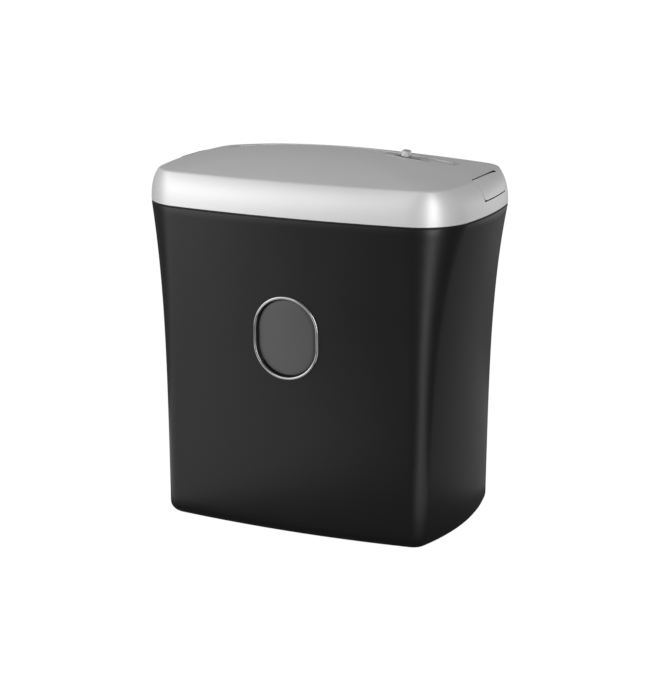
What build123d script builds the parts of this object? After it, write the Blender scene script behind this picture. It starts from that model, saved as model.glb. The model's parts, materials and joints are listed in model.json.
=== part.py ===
"""Desktop cross-cut paper shredder: lift-off head on a flared waste bin.

Millimetres, +Z up, front towards -Y. The origin is on the floor under the middle of the bin.
"""
from build123d import *
from math import acos, atan2, cos, degrees, pi, radians, sin, sqrt, tan
import os

os.makedirs("parts", exist_ok=True)

# ---- Driving dimensions: the outside ----
foot_height = 1.5
bin_height = 295.7
band_height = 32.0
dome_rise = 16.4
wall = 2.5
bin_floor = 3.0
bin_edge_radius = 10.0
seam_gap = 1.2
# Outline at the foot, at the top of the bin, at the top edge of the head and round its crest:
# half width, half depth, bow of the long sides, bow of the ends, corner radius.
foot_outline = (140.7, 90.4, 8.1, 12.0, 16.0)
rim_outline = (160.0, 96.2, 11.6, 11.4, 48.3)
edge_outline = (148.7, 88.0, 8.8, 9.5, 26.0)
crest_outline = (148.7, 88.0, 38.0, 62.0, 50.0)
band_curl = 2.8
bin_top = foot_height + bin_height
band_top = bin_top + band_height
crest = band_top + dome_rise

# ---- Window in the bin ----
window_z = foot_height + 186.2
ring_width, ring_height, ring_corner = 64.8, 77.6, 32.2
ring_band = 4.2
ring_proud = 1.8
lens_depth = 1.4
lens_thickness = 2.0

# ---- Handles in the ends ----
handle_front, handle_rear = -13.0, 44.0
handle_bottom = bin_top + 14.9
handle_pivot_x, handle_pivot_z = 147.8, 324.5
handle_top_x = 147.2
handle_thickness = 2.2
handle_proud = 0.4
handle_corner = 3.0
handle_side_gap = 0.5
handle_line_gap = 1.2
handle_pin_radius = 1.1
lug_radius = 2.2
lug_front_x = 149.0
ear_radius = 2.6
ear_thickness = 3.0
ear_gap = 0.3
lug_spans = [(-6.0, -2.0), (16.0, 20.0)]
hinge_relief = 6.0
pocket_low_x, pocket_wall, pocket_depth = 138.0, 2.0, 5.0
outside_x = 170.0

# ---- Screws ----
screw_hole_radius = 1.6
plate_thread_radius = 1.3
post_thread_radius = 1.2
boss_radius, boss_thread_radius = 4.0, 1.4
screw_x, screw_y = 100.0, 84.0

# ---- Cutter block ----
slot_y = 28.0
cutter_z = 261.7
cutter_spacing = 36.0
front_y = slot_y - cutter_spacing / 2
rear_y = slot_y + cutter_spacing / 2
disc_count = 53
disc_pitch = 4.16
disc_thickness = 1.8
disc_gap_to_hub = 0.04
disc_radius = 20.0
hub_radius = 15.0
hook_depth, hook_length, hook_back = 2.6, 6.5, 0.6
hex_flats = 16.0
journal_radius = 7.0
journal_length = 4.4
running_clearance = 0.05
cutting_half = disc_pitch * (disc_count - 1) / 2
plate_x = 111.0
plate_thickness = 2.0
rod_radius = 2.5
rod_front_y, rod_rear_y = -13.5, 69.5

# ---- Head base ----
tub_bottom = 226.2
tub_gap = 5.0
tub_floor = tub_bottom + wall
flange_top = bin_top + 4.0
exit_half_x, exit_half_y = 109.0, 36.0

# ---- Gear train on the right side plate, one entry per gear ----
gear_backlash = 0.3
gear_centre_play = 0.05
gear_width = 5.0
gear_plane = [plate_x + plate_thickness + 1.0 + 6.0 * step for step in range(3)]
sync_teeth, sync_module = 24, 1.5
pinion_teeth, first_teeth, first_module = 12, 48, 0.8
second_pinion_teeth, second_teeth, second_module = 14, 42, 1.0
third_pinion_teeth, third_teeth, third_module = 14, 42, 1.25
gear_pin_radius = 3.0
second_direction, first_direction, motor_direction = 160.0, 230.0, 105.0

# ---- Slide switch on the top ----
switch_x, switch_y = 73.5, 11.0
switch_length, switch_width = 43.0, 14.0
switch_plate_proud = 0.6
knob_x = 72.0
knob_length, knob_width, knob_height = 8.6, 10.0, 5.2
knob_lift = 0.4
stem_length, stem_width, stem_depth = 5.0, 3.4, 9.5


def distance(teeth_a, teeth_b, module):
    """Centre distance of a meshed pair."""
    return module * (teeth_a + teeth_b) / 2 + gear_centre_play


def step_from(point, length, angle):
    """Point at a length and angle from another, in the YZ plane."""
    return (point[0] + length * cos(radians(angle)), point[1] + length * sin(radians(angle)))


front_axis = (front_y, cutter_z)
rear_axis = (rear_y, cutter_z)
second_reach = distance(third_teeth, third_pinion_teeth, third_module)
first_reach = distance(second_teeth, second_pinion_teeth, second_module)
motor_reach = distance(first_teeth, pinion_teeth, first_module)
second_axis = step_from(front_axis, second_reach, second_direction)
first_axis = step_from(second_axis, first_reach, first_direction)
motor_axis = step_from(first_axis, motor_reach, motor_direction)


def finish(part, name):
    """Label a finished piece and write it."""
    part.label = name
    export_step(part, f"parts/{name}.step")
    print(name, round(part.volume))


def group(solids, name):
    """Several separate solids of one kind in one node."""
    finish(Compound(label=name, children=list(solids)), name)


# ---- Outlines and shells ----
def bowed_outline(half_width, half_depth, side_bow, end_bow, corner):
    """Four bowed sides through the corner points, with the corners rounded."""
    corner_x, corner_y = half_width - end_bow, half_depth - side_bow
    corners = [(corner_x, -corner_y), (corner_x, corner_y), (-corner_x, corner_y), (-corner_x, -corner_y)]
    middles = [(half_width, 0), (0, half_depth), (-half_width, 0), (0, -half_depth)]
    with BuildLine() as sides:
        for start, middle, end in zip(corners, middles, corners[1:] + corners[:1]):
            ThreePointArc(start, middle, end)
    make_face(sides.edges())
    fillet(vertices(), radius=corner)


def inset_outline(outline, inset, scale=1.0):
    """The same outline moved inwards by a wall, or scaled about the middle."""
    half_width, half_depth, side_bow, end_bow, corner = [value * scale for value in outline]
    return half_width - inset, half_depth - inset, side_bow, end_bow, max(corner - inset, 1.0)


def between(low, high, share):
    """Outline part of the way from one to another."""
    return [a + (b - a) * share for a, b in zip(low, high)]


def bin_outline(z, inset=0.0):
    """Outline of the bin at a height: nearly straight below, flaring towards the rim."""
    t = (z - foot_height) / bin_height
    return inset_outline(between(foot_outline, rim_outline, 0.2 * t + 0.8 * t**4), inset)


def head_outline(z, inset=0.0):
    """Outline of the head's side band: upright at the seam, curling inwards at the top."""
    t = max((z - bin_top) / band_height, 0.0)
    return inset_outline(between(rim_outline, edge_outline, t**band_curl), inset)


def bin_volume(low, high, inset=0.0):
    """Solid bin between two heights."""
    stations = 7
    with BuildPart() as volume:
        for step in range(stations):
            z = low + (high - low) * step / (stations - 1)
            with BuildSketch(Plane.XY.offset(z)):
                bowed_outline(*bin_outline(z, inset))
        loft()
    return volume.part


def head_volume(low, inset=0.0):
    """Solid head from a height up to its crest, moved inwards by a wall."""
    edge = band_top - inset
    with BuildPart() as volume:
        for share in (0, 0.25, 0.45, 0.62, 0.76, 0.88, 1):
            z = low + (edge - low) * share
            with BuildSketch(Plane.XY.offset(z)):
                bowed_outline(*head_outline(z + inset, inset))
        loft()
        for rho in (1, 0.88, 0.72, 0.54, 0.34, 0.12):
            with BuildSketch(Plane.XY.offset(edge + dome_rise * (1 - rho**2))):
                contour = between(crest_outline, edge_outline, rho)
                bowed_outline(*inset_outline(inset_outline(contour, inset), 0, rho))
        loft()
    return volume.part


def box_between(low, high):
    """Box from its lowest to its highest corner, kept out of any builder."""
    size = [b - a for a, b in zip(low, high)]
    return Location(low) * Box(*size, align=(Align.MIN,) * 3, mode=Mode.PRIVATE)


def rod_along_x(centre, radius, low, high):
    """Round bar along X at a (y, z) centre, kept out of any builder."""
    bar = Cylinder(radius, high - low, rotation=(0, 90, 0), align=(Align.CENTER,) * 3, mode=Mode.PRIVATE)
    return Location(((low + high) / 2, centre[0], centre[1])) * bar


def rod_along_z(x, y, radius, low, high):
    """Upright round bar, kept out of any builder."""
    bar = Cylinder(radius, high - low, align=(Align.CENTER, Align.CENTER, Align.MIN), mode=Mode.PRIVATE)
    return Location((x, y, low)) * bar


def rod_along_y(x, z, radius, low, high):
    """Round bar along Y, kept out of any builder."""
    bar = Cylinder(radius, high - low, rotation=(90, 0, 0), mode=Mode.PRIVATE)
    return Location((x, (low + high) / 2, z)) * bar


def tube_along_x(centre, outer, inner, low, high):
    """Hollow round bar along X."""
    with BuildPart() as tube:
        add(rod_along_x(centre, outer, low, high))
        add(rod_along_x(centre, inner, low - 1, high + 1), mode=Mode.SUBTRACT)
    return tube.part


def within(piece, limit):
    """The part of a piece that lies inside another."""
    with BuildPart() as common:
        add(piece)
        add(limit, mode=Mode.INTERSECT)
    return common.part


# ---- Bin ----
bin_outer = bin_volume(foot_height, bin_top)


def window_prism(grow, y_low=-130.0, y_high=-70.0):
    """Obround column through the front wall, larger or smaller than the ring's outside."""
    with BuildPart() as prism:
        with BuildSketch(Plane.XZ.offset(-y_high)):
            with Locations((0, window_z)):
                RectangleRounded(ring_width + 2 * grow, ring_height + 2 * grow, ring_corner + grow)
        extrude(amount=y_high - y_low)
    return prism.part


def front_layer(prism, outside, inside):
    """Part of a column between two surfaces that follow the bin's front wall."""
    with BuildPart() as layer:
        add(prism)
        add(Location((0, -outside, 0)) * bin_outer, mode=Mode.INTERSECT)
        add(Location((0, -inside, 0)) * bin_outer, mode=Mode.SUBTRACT)
    return layer.part


rib_x, rib_width, rib_y, rib_top, rib_height = -60.0, 12.0, 84.4, bin_top - 7.0, 26.0
with BuildPart() as waste_bin:
    add(bin_outer)
    fillet(waste_bin.edges().group_by(Axis.Z)[0], radius=bin_edge_radius)
    add(bin_volume(foot_height + bin_floor, bin_top + 1, wall), mode=Mode.SUBTRACT)
    add(window_prism(-2.4), mode=Mode.SUBTRACT)
    rib_low = (rib_x - rib_width / 2, rib_y, rib_top - rib_height)
    rib = box_between(rib_low, (rib_x + rib_width / 2, 100, rib_top))
    add(within(rib, bin_outer))
finish(waste_bin.part, "waste_bin")

with BuildPart() as window_bezel:
    add(front_layer(window_prism(0), ring_proud, 0))
    add(front_layer(window_prism(-2.6), 0.01, -4.6))
    add(window_prism(-ring_band), mode=Mode.SUBTRACT)
finish(window_bezel.part, "window_bezel")

window_lens = front_layer(window_prism(-ring_band - 0.05), -lens_depth, -lens_depth - lens_thickness)
finish(window_lens, "window_lens")

with BuildPart() as window_retainer:
    add(front_layer(window_prism(2.0), -4.7, -6.2))
    add(window_prism(-ring_band - 2.0), mode=Mode.SUBTRACT)
finish(window_retainer.part, "window_retainer")

pad_x, pad_y, pad_radius = 108.0, 62.0, 8.0
feet = []
for side_x in (-1, 1):
    for side_y in (-1, 1):
        with BuildPart() as foot:
            add(rod_along_z(side_x * pad_x, side_y * pad_y, pad_radius, 0, foot_height))
            chamfer(foot.edges().group_by(Axis.Z)[0], length=0.4)
        feet.append(foot.part)
group(feet, "bin_feet")

# ---- Head cover ----
head_outer = head_volume(bin_top)
head_inner = head_volume(bin_top, wall)
screw_spots = [(side_x * screw_x, side_y * screw_y) for side_x in (-1, 1) for side_y in (-1, 1)]
gland_x, gland_z, gland_radius = 70.0, bin_top + 13.0, 6.0
mouth_half_x, mouth_half_y = 116.0, 7.5


def handle_opening(side):
    """Space cut from the cover for one handle, with room for its top edge to turn."""
    low_y, high_y = handle_front - handle_side_gap, handle_rear + handle_side_gap
    with BuildPart() as opening:
        low = (handle_top_x - handle_line_gap, low_y, handle_bottom - handle_line_gap)
        add(box_between(low, (outside_x, high_y, crest)))
        add(rod_along_y(handle_pivot_x, handle_pivot_z, hinge_relief, low_y, high_y))
        if side < 0:
            mirror(about=Plane.YZ, mode=Mode.REPLACE)
    return opening.part


with BuildPart() as head_cover:
    add(head_outer)
    add(head_inner, mode=Mode.SUBTRACT)
    for x, y in screw_spots:
        boss = rod_along_z(x, y, boss_radius, flange_top, band_top - 8)
        add(within(boss, head_outer))
        add(rod_along_z(x, y, boss_thread_radius, flange_top, band_top - 14), mode=Mode.SUBTRACT)
    add(box_between((-200, -200, 0), (200, 200, bin_top + seam_gap)), mode=Mode.SUBTRACT)
    slot_hole = box_between((-mouth_half_x, slot_y - mouth_half_y, band_top),
                            (mouth_half_x, slot_y + mouth_half_y, crest + 5))
    add(slot_hole, mode=Mode.SUBTRACT)
    switch_hole = box_between((switch_x - 17, switch_y - 4, band_top),
                              (switch_x + 17, switch_y + 4, crest + 5))
    add(switch_hole, mode=Mode.SUBTRACT)
    for side in (-1, 1):
        add(handle_opening(side), mode=Mode.SUBTRACT)
    add(rod_along_y(gland_x, gland_z, gland_radius + 0.05, 80, 100), mode=Mode.SUBTRACT)
finish(head_cover.part, "head_cover")

# ---- Handles ----
def mirrored(part, side):
    """The piece itself for the right end, its mirror image for the left."""
    return part if side > 0 else part.mirror(Plane.YZ)


def ear_spans():
    """The handle's ears stand on both sides of each hinge lug."""
    spans = []
    for low, high in lug_spans:
        spans.append((low - ear_gap - ear_thickness, low - ear_gap))
        spans.append((high + ear_gap, high + ear_gap + ear_thickness))
    return spans


def handle_part():
    """Right handle: a curved panel that follows the head, with four hinge ears."""
    with BuildPart() as panel_region:
        with BuildSketch(Plane.YZ.offset(handle_top_x)):
            with BuildLine():
                Polyline((handle_front, crest), (handle_front, handle_bottom), (handle_rear, handle_bottom),
                         (handle_rear, crest), (handle_front, crest))
            make_face()
            fillet(vertices().group_by(Axis.Z)[0], radius=handle_corner)
        extrude(amount=20)
    with BuildPart() as handle:
        add(panel_region.part)
        add(head_volume(bin_top, -handle_proud), mode=Mode.INTERSECT)
        add(head_volume(bin_top, handle_thickness), mode=Mode.SUBTRACT)
        for low, high in ear_spans():
            with BuildSketch(Plane.XZ.offset(-high)):
                with Locations((handle_pivot_x, handle_pivot_z)):
                    Circle(ear_radius)
                    Rectangle(6, 4, align=(Align.MIN, Align.CENTER))
            ear = extrude(amount=high - low, mode=Mode.PRIVATE)
            add(within(ear, head_outer))
        for low, high in lug_spans:
            room_radius = ear_radius - 0.05
            add(rod_along_y(handle_pivot_x, handle_pivot_z, room_radius, low - ear_gap, high + ear_gap),
                mode=Mode.SUBTRACT)
        for low, high in ear_spans():
            pin_hole = rod_along_y(handle_pivot_x, handle_pivot_z, handle_pin_radius + running_clearance,
                                   low - 0.1, high + 0.1)
            add(pin_hole, mode=Mode.SUBTRACT)
    return handle.part


def handle_pocket():
    """Right pocket behind the handle: a tray with two hinge lugs."""
    low_y, high_y = handle_front - 3, handle_rear + 3
    floor_z = handle_bottom - pocket_depth
    inside = (pocket_low_x + pocket_wall, low_y + pocket_wall, floor_z + pocket_wall)
    with BuildPart() as pocket:
        add(box_between((pocket_low_x, low_y, floor_z), (outside_x, high_y, band_top + 6)))
        add(head_volume(bin_top, wall + 0.1), mode=Mode.INTERSECT)
        add(box_between(inside, (outside_x, high_y - pocket_wall, crest)), mode=Mode.SUBTRACT)
        for low, high in lug_spans:
            with BuildSketch(Plane.XZ.offset(-high)):
                with BuildLine():
                    foot_x, foot_z = pocket_low_x + 1, floor_z + 1
                    Polyline((foot_x, foot_z), (lug_front_x, foot_z), (lug_front_x, handle_pivot_z),
                             (handle_pivot_x - lug_radius, handle_pivot_z), (foot_x, handle_pivot_z - 10),
                             (foot_x, foot_z))
                make_face()
                with Locations((handle_pivot_x, handle_pivot_z)):
                    Circle(lug_radius)
            extrude(amount=high - low)
        for low, high in lug_spans:
            lug_hole = rod_along_y(handle_pivot_x, handle_pivot_z, handle_pin_radius, low - 0.1, high + 0.1)
            add(lug_hole, mode=Mode.SUBTRACT)
    return pocket.part


right_handle, right_pocket = handle_part(), handle_pocket()
finish(right_handle, "handle_right")
finish(mirrored(right_handle, -1), "handle_left")
finish(right_pocket, "handle_pocket_right")
finish(mirrored(right_pocket, -1), "handle_pocket_left")
pins = []
for side in (-1, 1):
    for low, high in lug_spans:
        reach = ear_gap + ear_thickness
        pin_x = side * handle_pivot_x
        pins.append(rod_along_y(pin_x, handle_pivot_z, handle_pin_radius, low - reach, high + reach))
group(pins, "handle_pins")

# ---- Head base ----
board_low, board_high, board_z = (-100.0, -68.0), (-24.0, -24.0), tub_floor + 7.0
board_hole_inset = 4.0
board_holes = []
for board_x in (board_low[0] + board_hole_inset, board_high[0] - board_hole_inset):
    for board_y in (board_low[1] + board_hole_inset, board_high[1] - board_hole_inset):
        board_holes.append((board_x, board_y))
tab_spots = {"left": [(-118.0, -8.0), (-118.0, 60.0)], "right": [(118.0, 56.0), (104.0, -48.0)]}
all_tabs = tab_spots["left"] + tab_spots["right"]
plunger_x, plunger_y, plunger_radius = rib_x, 86.4, 1.4
plunger_hole = plunger_radius + 0.3
with BuildPart() as head_base:
    with BuildSketch(Plane.XY.offset(tub_bottom)):
        bowed_outline(*bin_outline(tub_bottom, wall + tub_gap))
    extrude(amount=flange_top - tub_bottom)
    with BuildSketch(Plane.XY.offset(bin_top)):
        bowed_outline(*inset_outline(rim_outline, 1.0))
    extrude(amount=seam_gap)
    with BuildSketch(Plane.XY.offset(bin_top + seam_gap)):
        bowed_outline(*inset_outline(rim_outline, wall + 0.2))
    extrude(amount=flange_top - bin_top - seam_gap)
    with BuildSketch(Plane.XY.offset(tub_floor)):
        bowed_outline(*bin_outline(tub_bottom, 2 * wall + tub_gap))
    extrude(amount=flange_top - tub_floor + 1, mode=Mode.SUBTRACT)
    shred_exit = box_between((-exit_half_x, slot_y - exit_half_y, tub_bottom - 1),
                             (exit_half_x, slot_y + exit_half_y, tub_floor + 1))
    add(shred_exit, mode=Mode.SUBTRACT)
    for x, y in board_holes:
        add(rod_along_z(x, y, 3.0, tub_floor - 0.5, board_z))
        add(rod_along_z(x, y, 1.1, tub_floor + 1, board_z + 1), mode=Mode.SUBTRACT)
    for x, y in screw_spots:
        add(rod_along_z(x, y, screw_hole_radius, bin_top - 1, flange_top + 1), mode=Mode.SUBTRACT)
    for x, y in all_tabs:
        add(rod_along_z(x, y, screw_hole_radius, tub_bottom - 1, tub_floor + 1), mode=Mode.SUBTRACT)
    add(rod_along_z(plunger_x, plunger_y, plunger_hole, bin_top - 1, flange_top + 1), mode=Mode.SUBTRACT)
finish(head_base.part, "head_base")


def screw_up(x, y, seat, length, radius, head_radius=3.0, head_height=2.4):
    """Screw that points up, its head hanging below the seat, with a cross recess."""
    with BuildPart() as screw:
        add(rod_along_z(x, y, radius, seat - 0.5, seat + length))
        add(rod_along_z(x, y, head_radius, seat - head_height, seat))
        for spin in (0, 90):
            slit = Rot(0, 0, spin) * Box(2.8, 0.7, 2.4, mode=Mode.PRIVATE)
            add(Location((x, y, seat - head_height)) * slit, mode=Mode.SUBTRACT)
    return screw.part


def screw_down(x, y, seat, length, radius, head_radius=2.4, head_height=1.8):
    """Screw that points down, its head on top of the seat."""
    up = screw_up(0, 0, 0, length, radius, head_radius, head_height)
    return Location((x, y, seat)) * (Rot(180, 0, 0) * up)


group([screw_up(x, y, bin_top, 14, 1.35) for x, y in screw_spots], "housing_screws")

# ---- Paper guide ----
guide_half_x, guide_half_y = 110.6, 4.5
throat_half_x, throat_half_y = 109.2, 2.5
guide_bottom, guide_shoulder = cutter_z + 21.5, cutter_z + 44.0
sensor_pivot_y, sensor_pivot_z = 16.5, 305.7
with BuildPart() as paper_guide:
    add(box_between((-mouth_half_x + 0.1, slot_y - mouth_half_y + 0.1, guide_shoulder),
                    (mouth_half_x - 0.1, slot_y + mouth_half_y - 0.1, crest + 5)))
    add(head_outer, mode=Mode.INTERSECT)
    hollow_low = (-mouth_half_x - 1, slot_y - mouth_half_y - 1, guide_shoulder - 1)
    add(box_between(hollow_low, (mouth_half_x + 1, slot_y - guide_half_y, band_top - 3)), mode=Mode.SUBTRACT)
    add(box_between((-mouth_half_x - 1, slot_y + guide_half_y, guide_shoulder - 1),
                    (mouth_half_x + 1, slot_y + mouth_half_y + 1, band_top - 3)), mode=Mode.SUBTRACT)
    add(box_between((-guide_half_x, slot_y - guide_half_y, guide_bottom),
                    (guide_half_x, slot_y + guide_half_y, guide_shoulder)))
    add(box_between((-throat_half_x, slot_y - throat_half_y, guide_bottom - 1),
                    (throat_half_x, slot_y + throat_half_y, crest + 5)), mode=Mode.SUBTRACT)
    with BuildSketch(Plane.XY.offset(band_top + 2)):
        with Locations((0, slot_y)):
            RectangleRounded(2 * throat_half_x, 2 * throat_half_y, 1)
    with BuildSketch(Plane.XY.offset(crest + 1)):
        with Locations((0, slot_y)):
            RectangleRounded(2 * mouth_half_x - 4, 2 * mouth_half_y - 2.4, 4)
    loft(mode=Mode.SUBTRACT)
    add(box_between((-2.2, slot_y - guide_half_y - 1, sensor_pivot_z - 9),
                    (2.2, slot_y + guide_half_y - 0.8, sensor_pivot_z + 3)), mode=Mode.SUBTRACT)
finish(paper_guide.part, "paper_guide")

# ---- Slide switch on the top ----
dome_slope = degrees(atan2(2 * dome_rise * knob_x / edge_outline[0] ** 2, 1))
knob_z = band_top + dome_rise * (1 - (knob_x / edge_outline[0]) ** 2)
with BuildPart() as switch_plate:
    with BuildSketch(Plane.XY.offset(band_top)):
        with Locations((switch_x, switch_y)):
            RectangleRounded(switch_length, switch_width, 3)
            Rectangle(26, 4.6, mode=Mode.SUBTRACT)
    extrude(amount=dome_rise + 5)
    add(Location((0, 0, switch_plate_proud)) * head_outer, mode=Mode.INTERSECT)
    add(head_outer, mode=Mode.SUBTRACT)
finish(switch_plate.part, "switch_plate")

switch_body_top = knob_z - 6.5
with BuildPart() as mode_switch:
    add(box_between((switch_x - 15, switch_y - 6, switch_body_top - 11),
                    (switch_x + 15, switch_y + 6, switch_body_top)))
    fillet(mode_switch.edges().filter_by(Axis.Z), radius=1)
    add(box_between((switch_x - 12, switch_y - 2.2, switch_body_top - 4),
                    (switch_x + 12, switch_y + 2.2, switch_body_top + 1)), mode=Mode.SUBTRACT)
    for offset_x in (-9, -3, 3, 9):
        add(box_between((switch_x + offset_x - 0.4, switch_y - 2, switch_body_top - 16),
                        (switch_x + offset_x + 0.4, switch_y + 2, switch_body_top - 10.9)))
    for low_x, high_x in ((-21, -14.9), (14.9, 21)):
        add(box_between((switch_x + low_x, switch_y - 4, switch_body_top - 3),
                        (switch_x + high_x, switch_y + 4, switch_body_top)))
    for low_x, high_x in ((-21, -17.5), (17.5, 21)):
        post = box_between((switch_x + low_x, switch_y - 4, switch_body_top - 1),
                           (switch_x + high_x, switch_y + 4, crest))
        add(within(post, head_inner))
finish(mode_switch.part, "mode_switch")

knob_up = (sin(radians(dome_slope)), 0, cos(radians(dome_slope)))
knob_plane = Plane(origin=(knob_x, switch_y, knob_z), z_dir=knob_up)
with BuildPart() as switch_knob:
    with BuildSketch(knob_plane.offset(switch_plate_proud + knob_lift)):
        RectangleRounded(knob_length, knob_width, 1.8)
    extrude(amount=knob_height, taper=6)
    fillet(switch_knob.faces().sort_by(Axis.Z)[-1].edges(), radius=1.0)
    with BuildSketch(knob_plane.offset(-stem_depth)):
        RectangleRounded(stem_length, stem_width, 0.8)
    extrude(amount=stem_depth + switch_plate_proud + knob_lift + 0.1)
finish(switch_knob.part, "switch_knob")

# ---- Cord gland in the rear, with no cord in it ----
gland_front, gland_rear, cord_hole_radius = 84.0, 95.2, 3.6
with BuildPart() as cord_gland:
    add(rod_along_y(gland_x, gland_z, gland_radius, gland_front, gland_rear))
    add(rod_along_y(gland_x, gland_z, gland_radius + 2, gland_front + 0.5, gland_front + 3))
    add(rod_along_y(gland_x, gland_z, cord_hole_radius, gland_front - 1, gland_rear + 1), mode=Mode.SUBTRACT)
    fillet(cord_gland.edges().group_by(Axis.Y)[-1], radius=0.8)
finish(cord_gland.part, "cord_gland")


# ---- Cutters ----
def hexagon_bar(centre, flats, low, high):
    """Hexagonal bar along X."""
    with BuildPart() as bar:
        with BuildSketch(Plane.YZ.offset(low)):
            with Locations(centre):
                RegularPolygon(flats / 2, 6, major_radius=False)
        extrude(amount=high - low)
    return bar.part


def cutter_disc(centre, x, spin, tail):
    """Pressed disc with three hooked teeth and a spacer hub, on a hexagonal bore."""
    with BuildPart() as disc:
        with BuildSketch(Plane.YZ.offset(x - disc_thickness / 2)):
            with Locations(centre):
                Circle(disc_radius)
                for tooth in range(3):
                    with Locations(Rot(0, 0, spin + 120 * tooth)):
                        with BuildLine(mode=Mode.PRIVATE) as notch:
                            bottom, outside = disc_radius - hook_depth, disc_radius + 2
                            Polyline((bottom, 0), (outside, 0), (outside, hook_length),
                                     (disc_radius - hook_back, hook_length), (bottom, 0))
                        add(make_face(notch.edges(), mode=Mode.PRIVATE), mode=Mode.SUBTRACT)
        extrude(amount=disc_thickness)
        with BuildSketch(Plane.YZ.offset(x + disc_thickness / 2)):
            with Locations(centre):
                Circle(hub_radius)
        extrude(amount=tail)
        add(hexagon_bar(centre, hex_flats + 2 * running_clearance, x - 5, x + 8), mode=Mode.SUBTRACT)
    return disc.part


def cutter_discs(centre, first_x, count, spin_step):
    """Row of discs, each turned a little further than the last."""
    tail = disc_pitch - disc_thickness - disc_gap_to_hub
    discs = []
    for index in range(count):
        x = first_x + index * disc_pitch
        room = plate_x - 0.6 - x - disc_thickness / 2
        discs.append(cutter_disc(centre, x, index * spin_step, min(tail, room)))
    return discs


def cutter_shaft(centre, low, high):
    """Hexagonal shaft with round journals at both ends."""
    hex_end = plate_x - 0.5
    with BuildPart() as shaft:
        add(hexagon_bar(centre, hex_flats, -hex_end, hex_end))
        add(rod_along_x(centre, journal_radius, low, -hex_end + 1))
        add(rod_along_x(centre, journal_radius, hex_end - 1, high))
        for x in (low + 1.6, high - 2.8):
            groove = tube_along_x(centre, journal_radius + 1, journal_radius - 1, x, x + 1.2)
            add(groove, mode=Mode.SUBTRACT)
        chamfer(shaft.edges().filter_by(GeomType.CIRCLE).group_by(Axis.X)[0], length=0.5)
        chamfer(shaft.edges().filter_by(GeomType.CIRCLE).group_by(Axis.X)[-1], length=0.5)
    return shaft.part


def gear_points(teeth, module, phase):
    """Corner points of an involute gear's outline, one tooth pointing along the phase angle."""
    pressure, steps = radians(25.0), 4
    pitch_r = module * teeth / 2
    base_r = pitch_r * cos(pressure)
    tip_r, root_r = pitch_r + 0.85 * module, pitch_r - 1.05 * module
    half_base = pi / (2 * teeth) - gear_backlash / (2 * pitch_r) + tan(pressure) - pressure
    start_r = max(base_r, root_r) + 1e-6
    flank = []
    for step in range(steps + 1):
        r = start_r + (tip_r - start_r) * step / steps
        roll = acos(min(1, base_r / r))
        flank.append((r, half_base - tan(roll) + roll))
    if root_r < start_r - 1e-3:
        flank.insert(0, (root_r, flank[0][1]))
    points = []
    for tooth in range(teeth):
        middle = radians(phase) + 2 * pi * tooth / teeth
        points += [(r * cos(middle - a), r * sin(middle - a)) for r, a in flank]
        points += [(r * cos(middle + a), r * sin(middle + a)) for r, a in reversed(flank)]
    return points


def gear_solid(centre, teeth, module, phase, low, high, bore):
    """Spur gear along X with a round bore and lightened web."""
    with BuildPart() as gear:
        with BuildSketch(Plane.YZ.offset(low)):
            with Locations(centre):
                points = gear_points(teeth, module, phase)
                with BuildLine(mode=Mode.PRIVATE) as rim:
                    Polyline(*points, points[0])
                add(make_face(rim.edges(), mode=Mode.PRIVATE))
                Circle(bore, mode=Mode.SUBTRACT)
        extrude(amount=high - low)
        root = module * teeth / 2 - 1.05 * module
        if root > bore + 9:
            web = tube_along_x(centre, root - 2, bore + 3.5, high - 1.2, high)
            add(web, mode=Mode.SUBTRACT)
    return gear.part


def meshed_phase(parent_teeth, parent_phase, teeth, direction):
    """Phase of a gear that meshes with its parent, whose centre lies back along the direction."""
    share = ((direction - parent_phase) * parent_teeth / 360) % 1
    return direction + 180 - (0.5 - share) * 360 / teeth


def shaft_clip(centre, x, shaft_radius, thickness=1.0):
    """Open retaining ring."""
    with BuildPart() as clip:
        with BuildSketch(Plane.YZ.offset(x)):
            with Locations(centre):
                Circle(shaft_radius + 2)
                Circle(shaft_radius - 0.9, mode=Mode.SUBTRACT)
                with Locations((0, -shaft_radius)):
                    Rectangle(shaft_radius, 2 * shaft_radius, mode=Mode.SUBTRACT)
        extrude(amount=thickness)
    return clip.part


sync_low, sync_high = -plate_x - plate_thickness - 11.0, -plate_x - plate_thickness - 1.0
front_high = gear_plane[2] + gear_width + journal_length
rear_high = plate_x + plate_thickness + journal_length
shaft_low = sync_low - journal_length
sync_front_phase = 0.0
sync_rear_phase = meshed_phase(sync_teeth, sync_front_phase, sync_teeth, 0)
drive_phase = 0.0
second_phase = meshed_phase(third_teeth, drive_phase, third_pinion_teeth, second_direction)
first_phase = meshed_phase(second_teeth, second_phase, second_pinion_teeth, first_direction)
motor_phase = meshed_phase(first_teeth, first_phase, pinion_teeth, motor_direction)

finish(cutter_shaft(front_axis, shaft_low, front_high), "cutter_shaft_front")
finish(cutter_shaft(rear_axis, shaft_low, rear_high), "cutter_shaft_rear")
group(cutter_discs(front_axis, -cutting_half, disc_count, 9), "cutter_discs_front")
group(cutter_discs(rear_axis, -cutting_half + disc_pitch / 2, disc_count - 1, -9), "cutter_discs_rear")
finish(gear_solid(front_axis, sync_teeth, sync_module, sync_front_phase, sync_low, sync_high, journal_radius),
       "sync_gear_front")
finish(gear_solid(rear_axis, sync_teeth, sync_module, sync_rear_phase, sync_low, sync_high, journal_radius),
       "sync_gear_rear")
drive_gear = gear_solid(front_axis, third_teeth, third_module, drive_phase, gear_plane[2],
                        gear_plane[2] + gear_width, journal_radius)
finish(drive_gear, "drive_gear")
for name, axis, shaft_high in (("front", front_axis, front_high), ("rear", rear_axis, rear_high)):
    clips = [shaft_clip(axis, x, journal_radius) for x in (shaft_low + 1.7, shaft_high - 2.7)]
    group(clips, f"shaft_clips_{name}")


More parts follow.
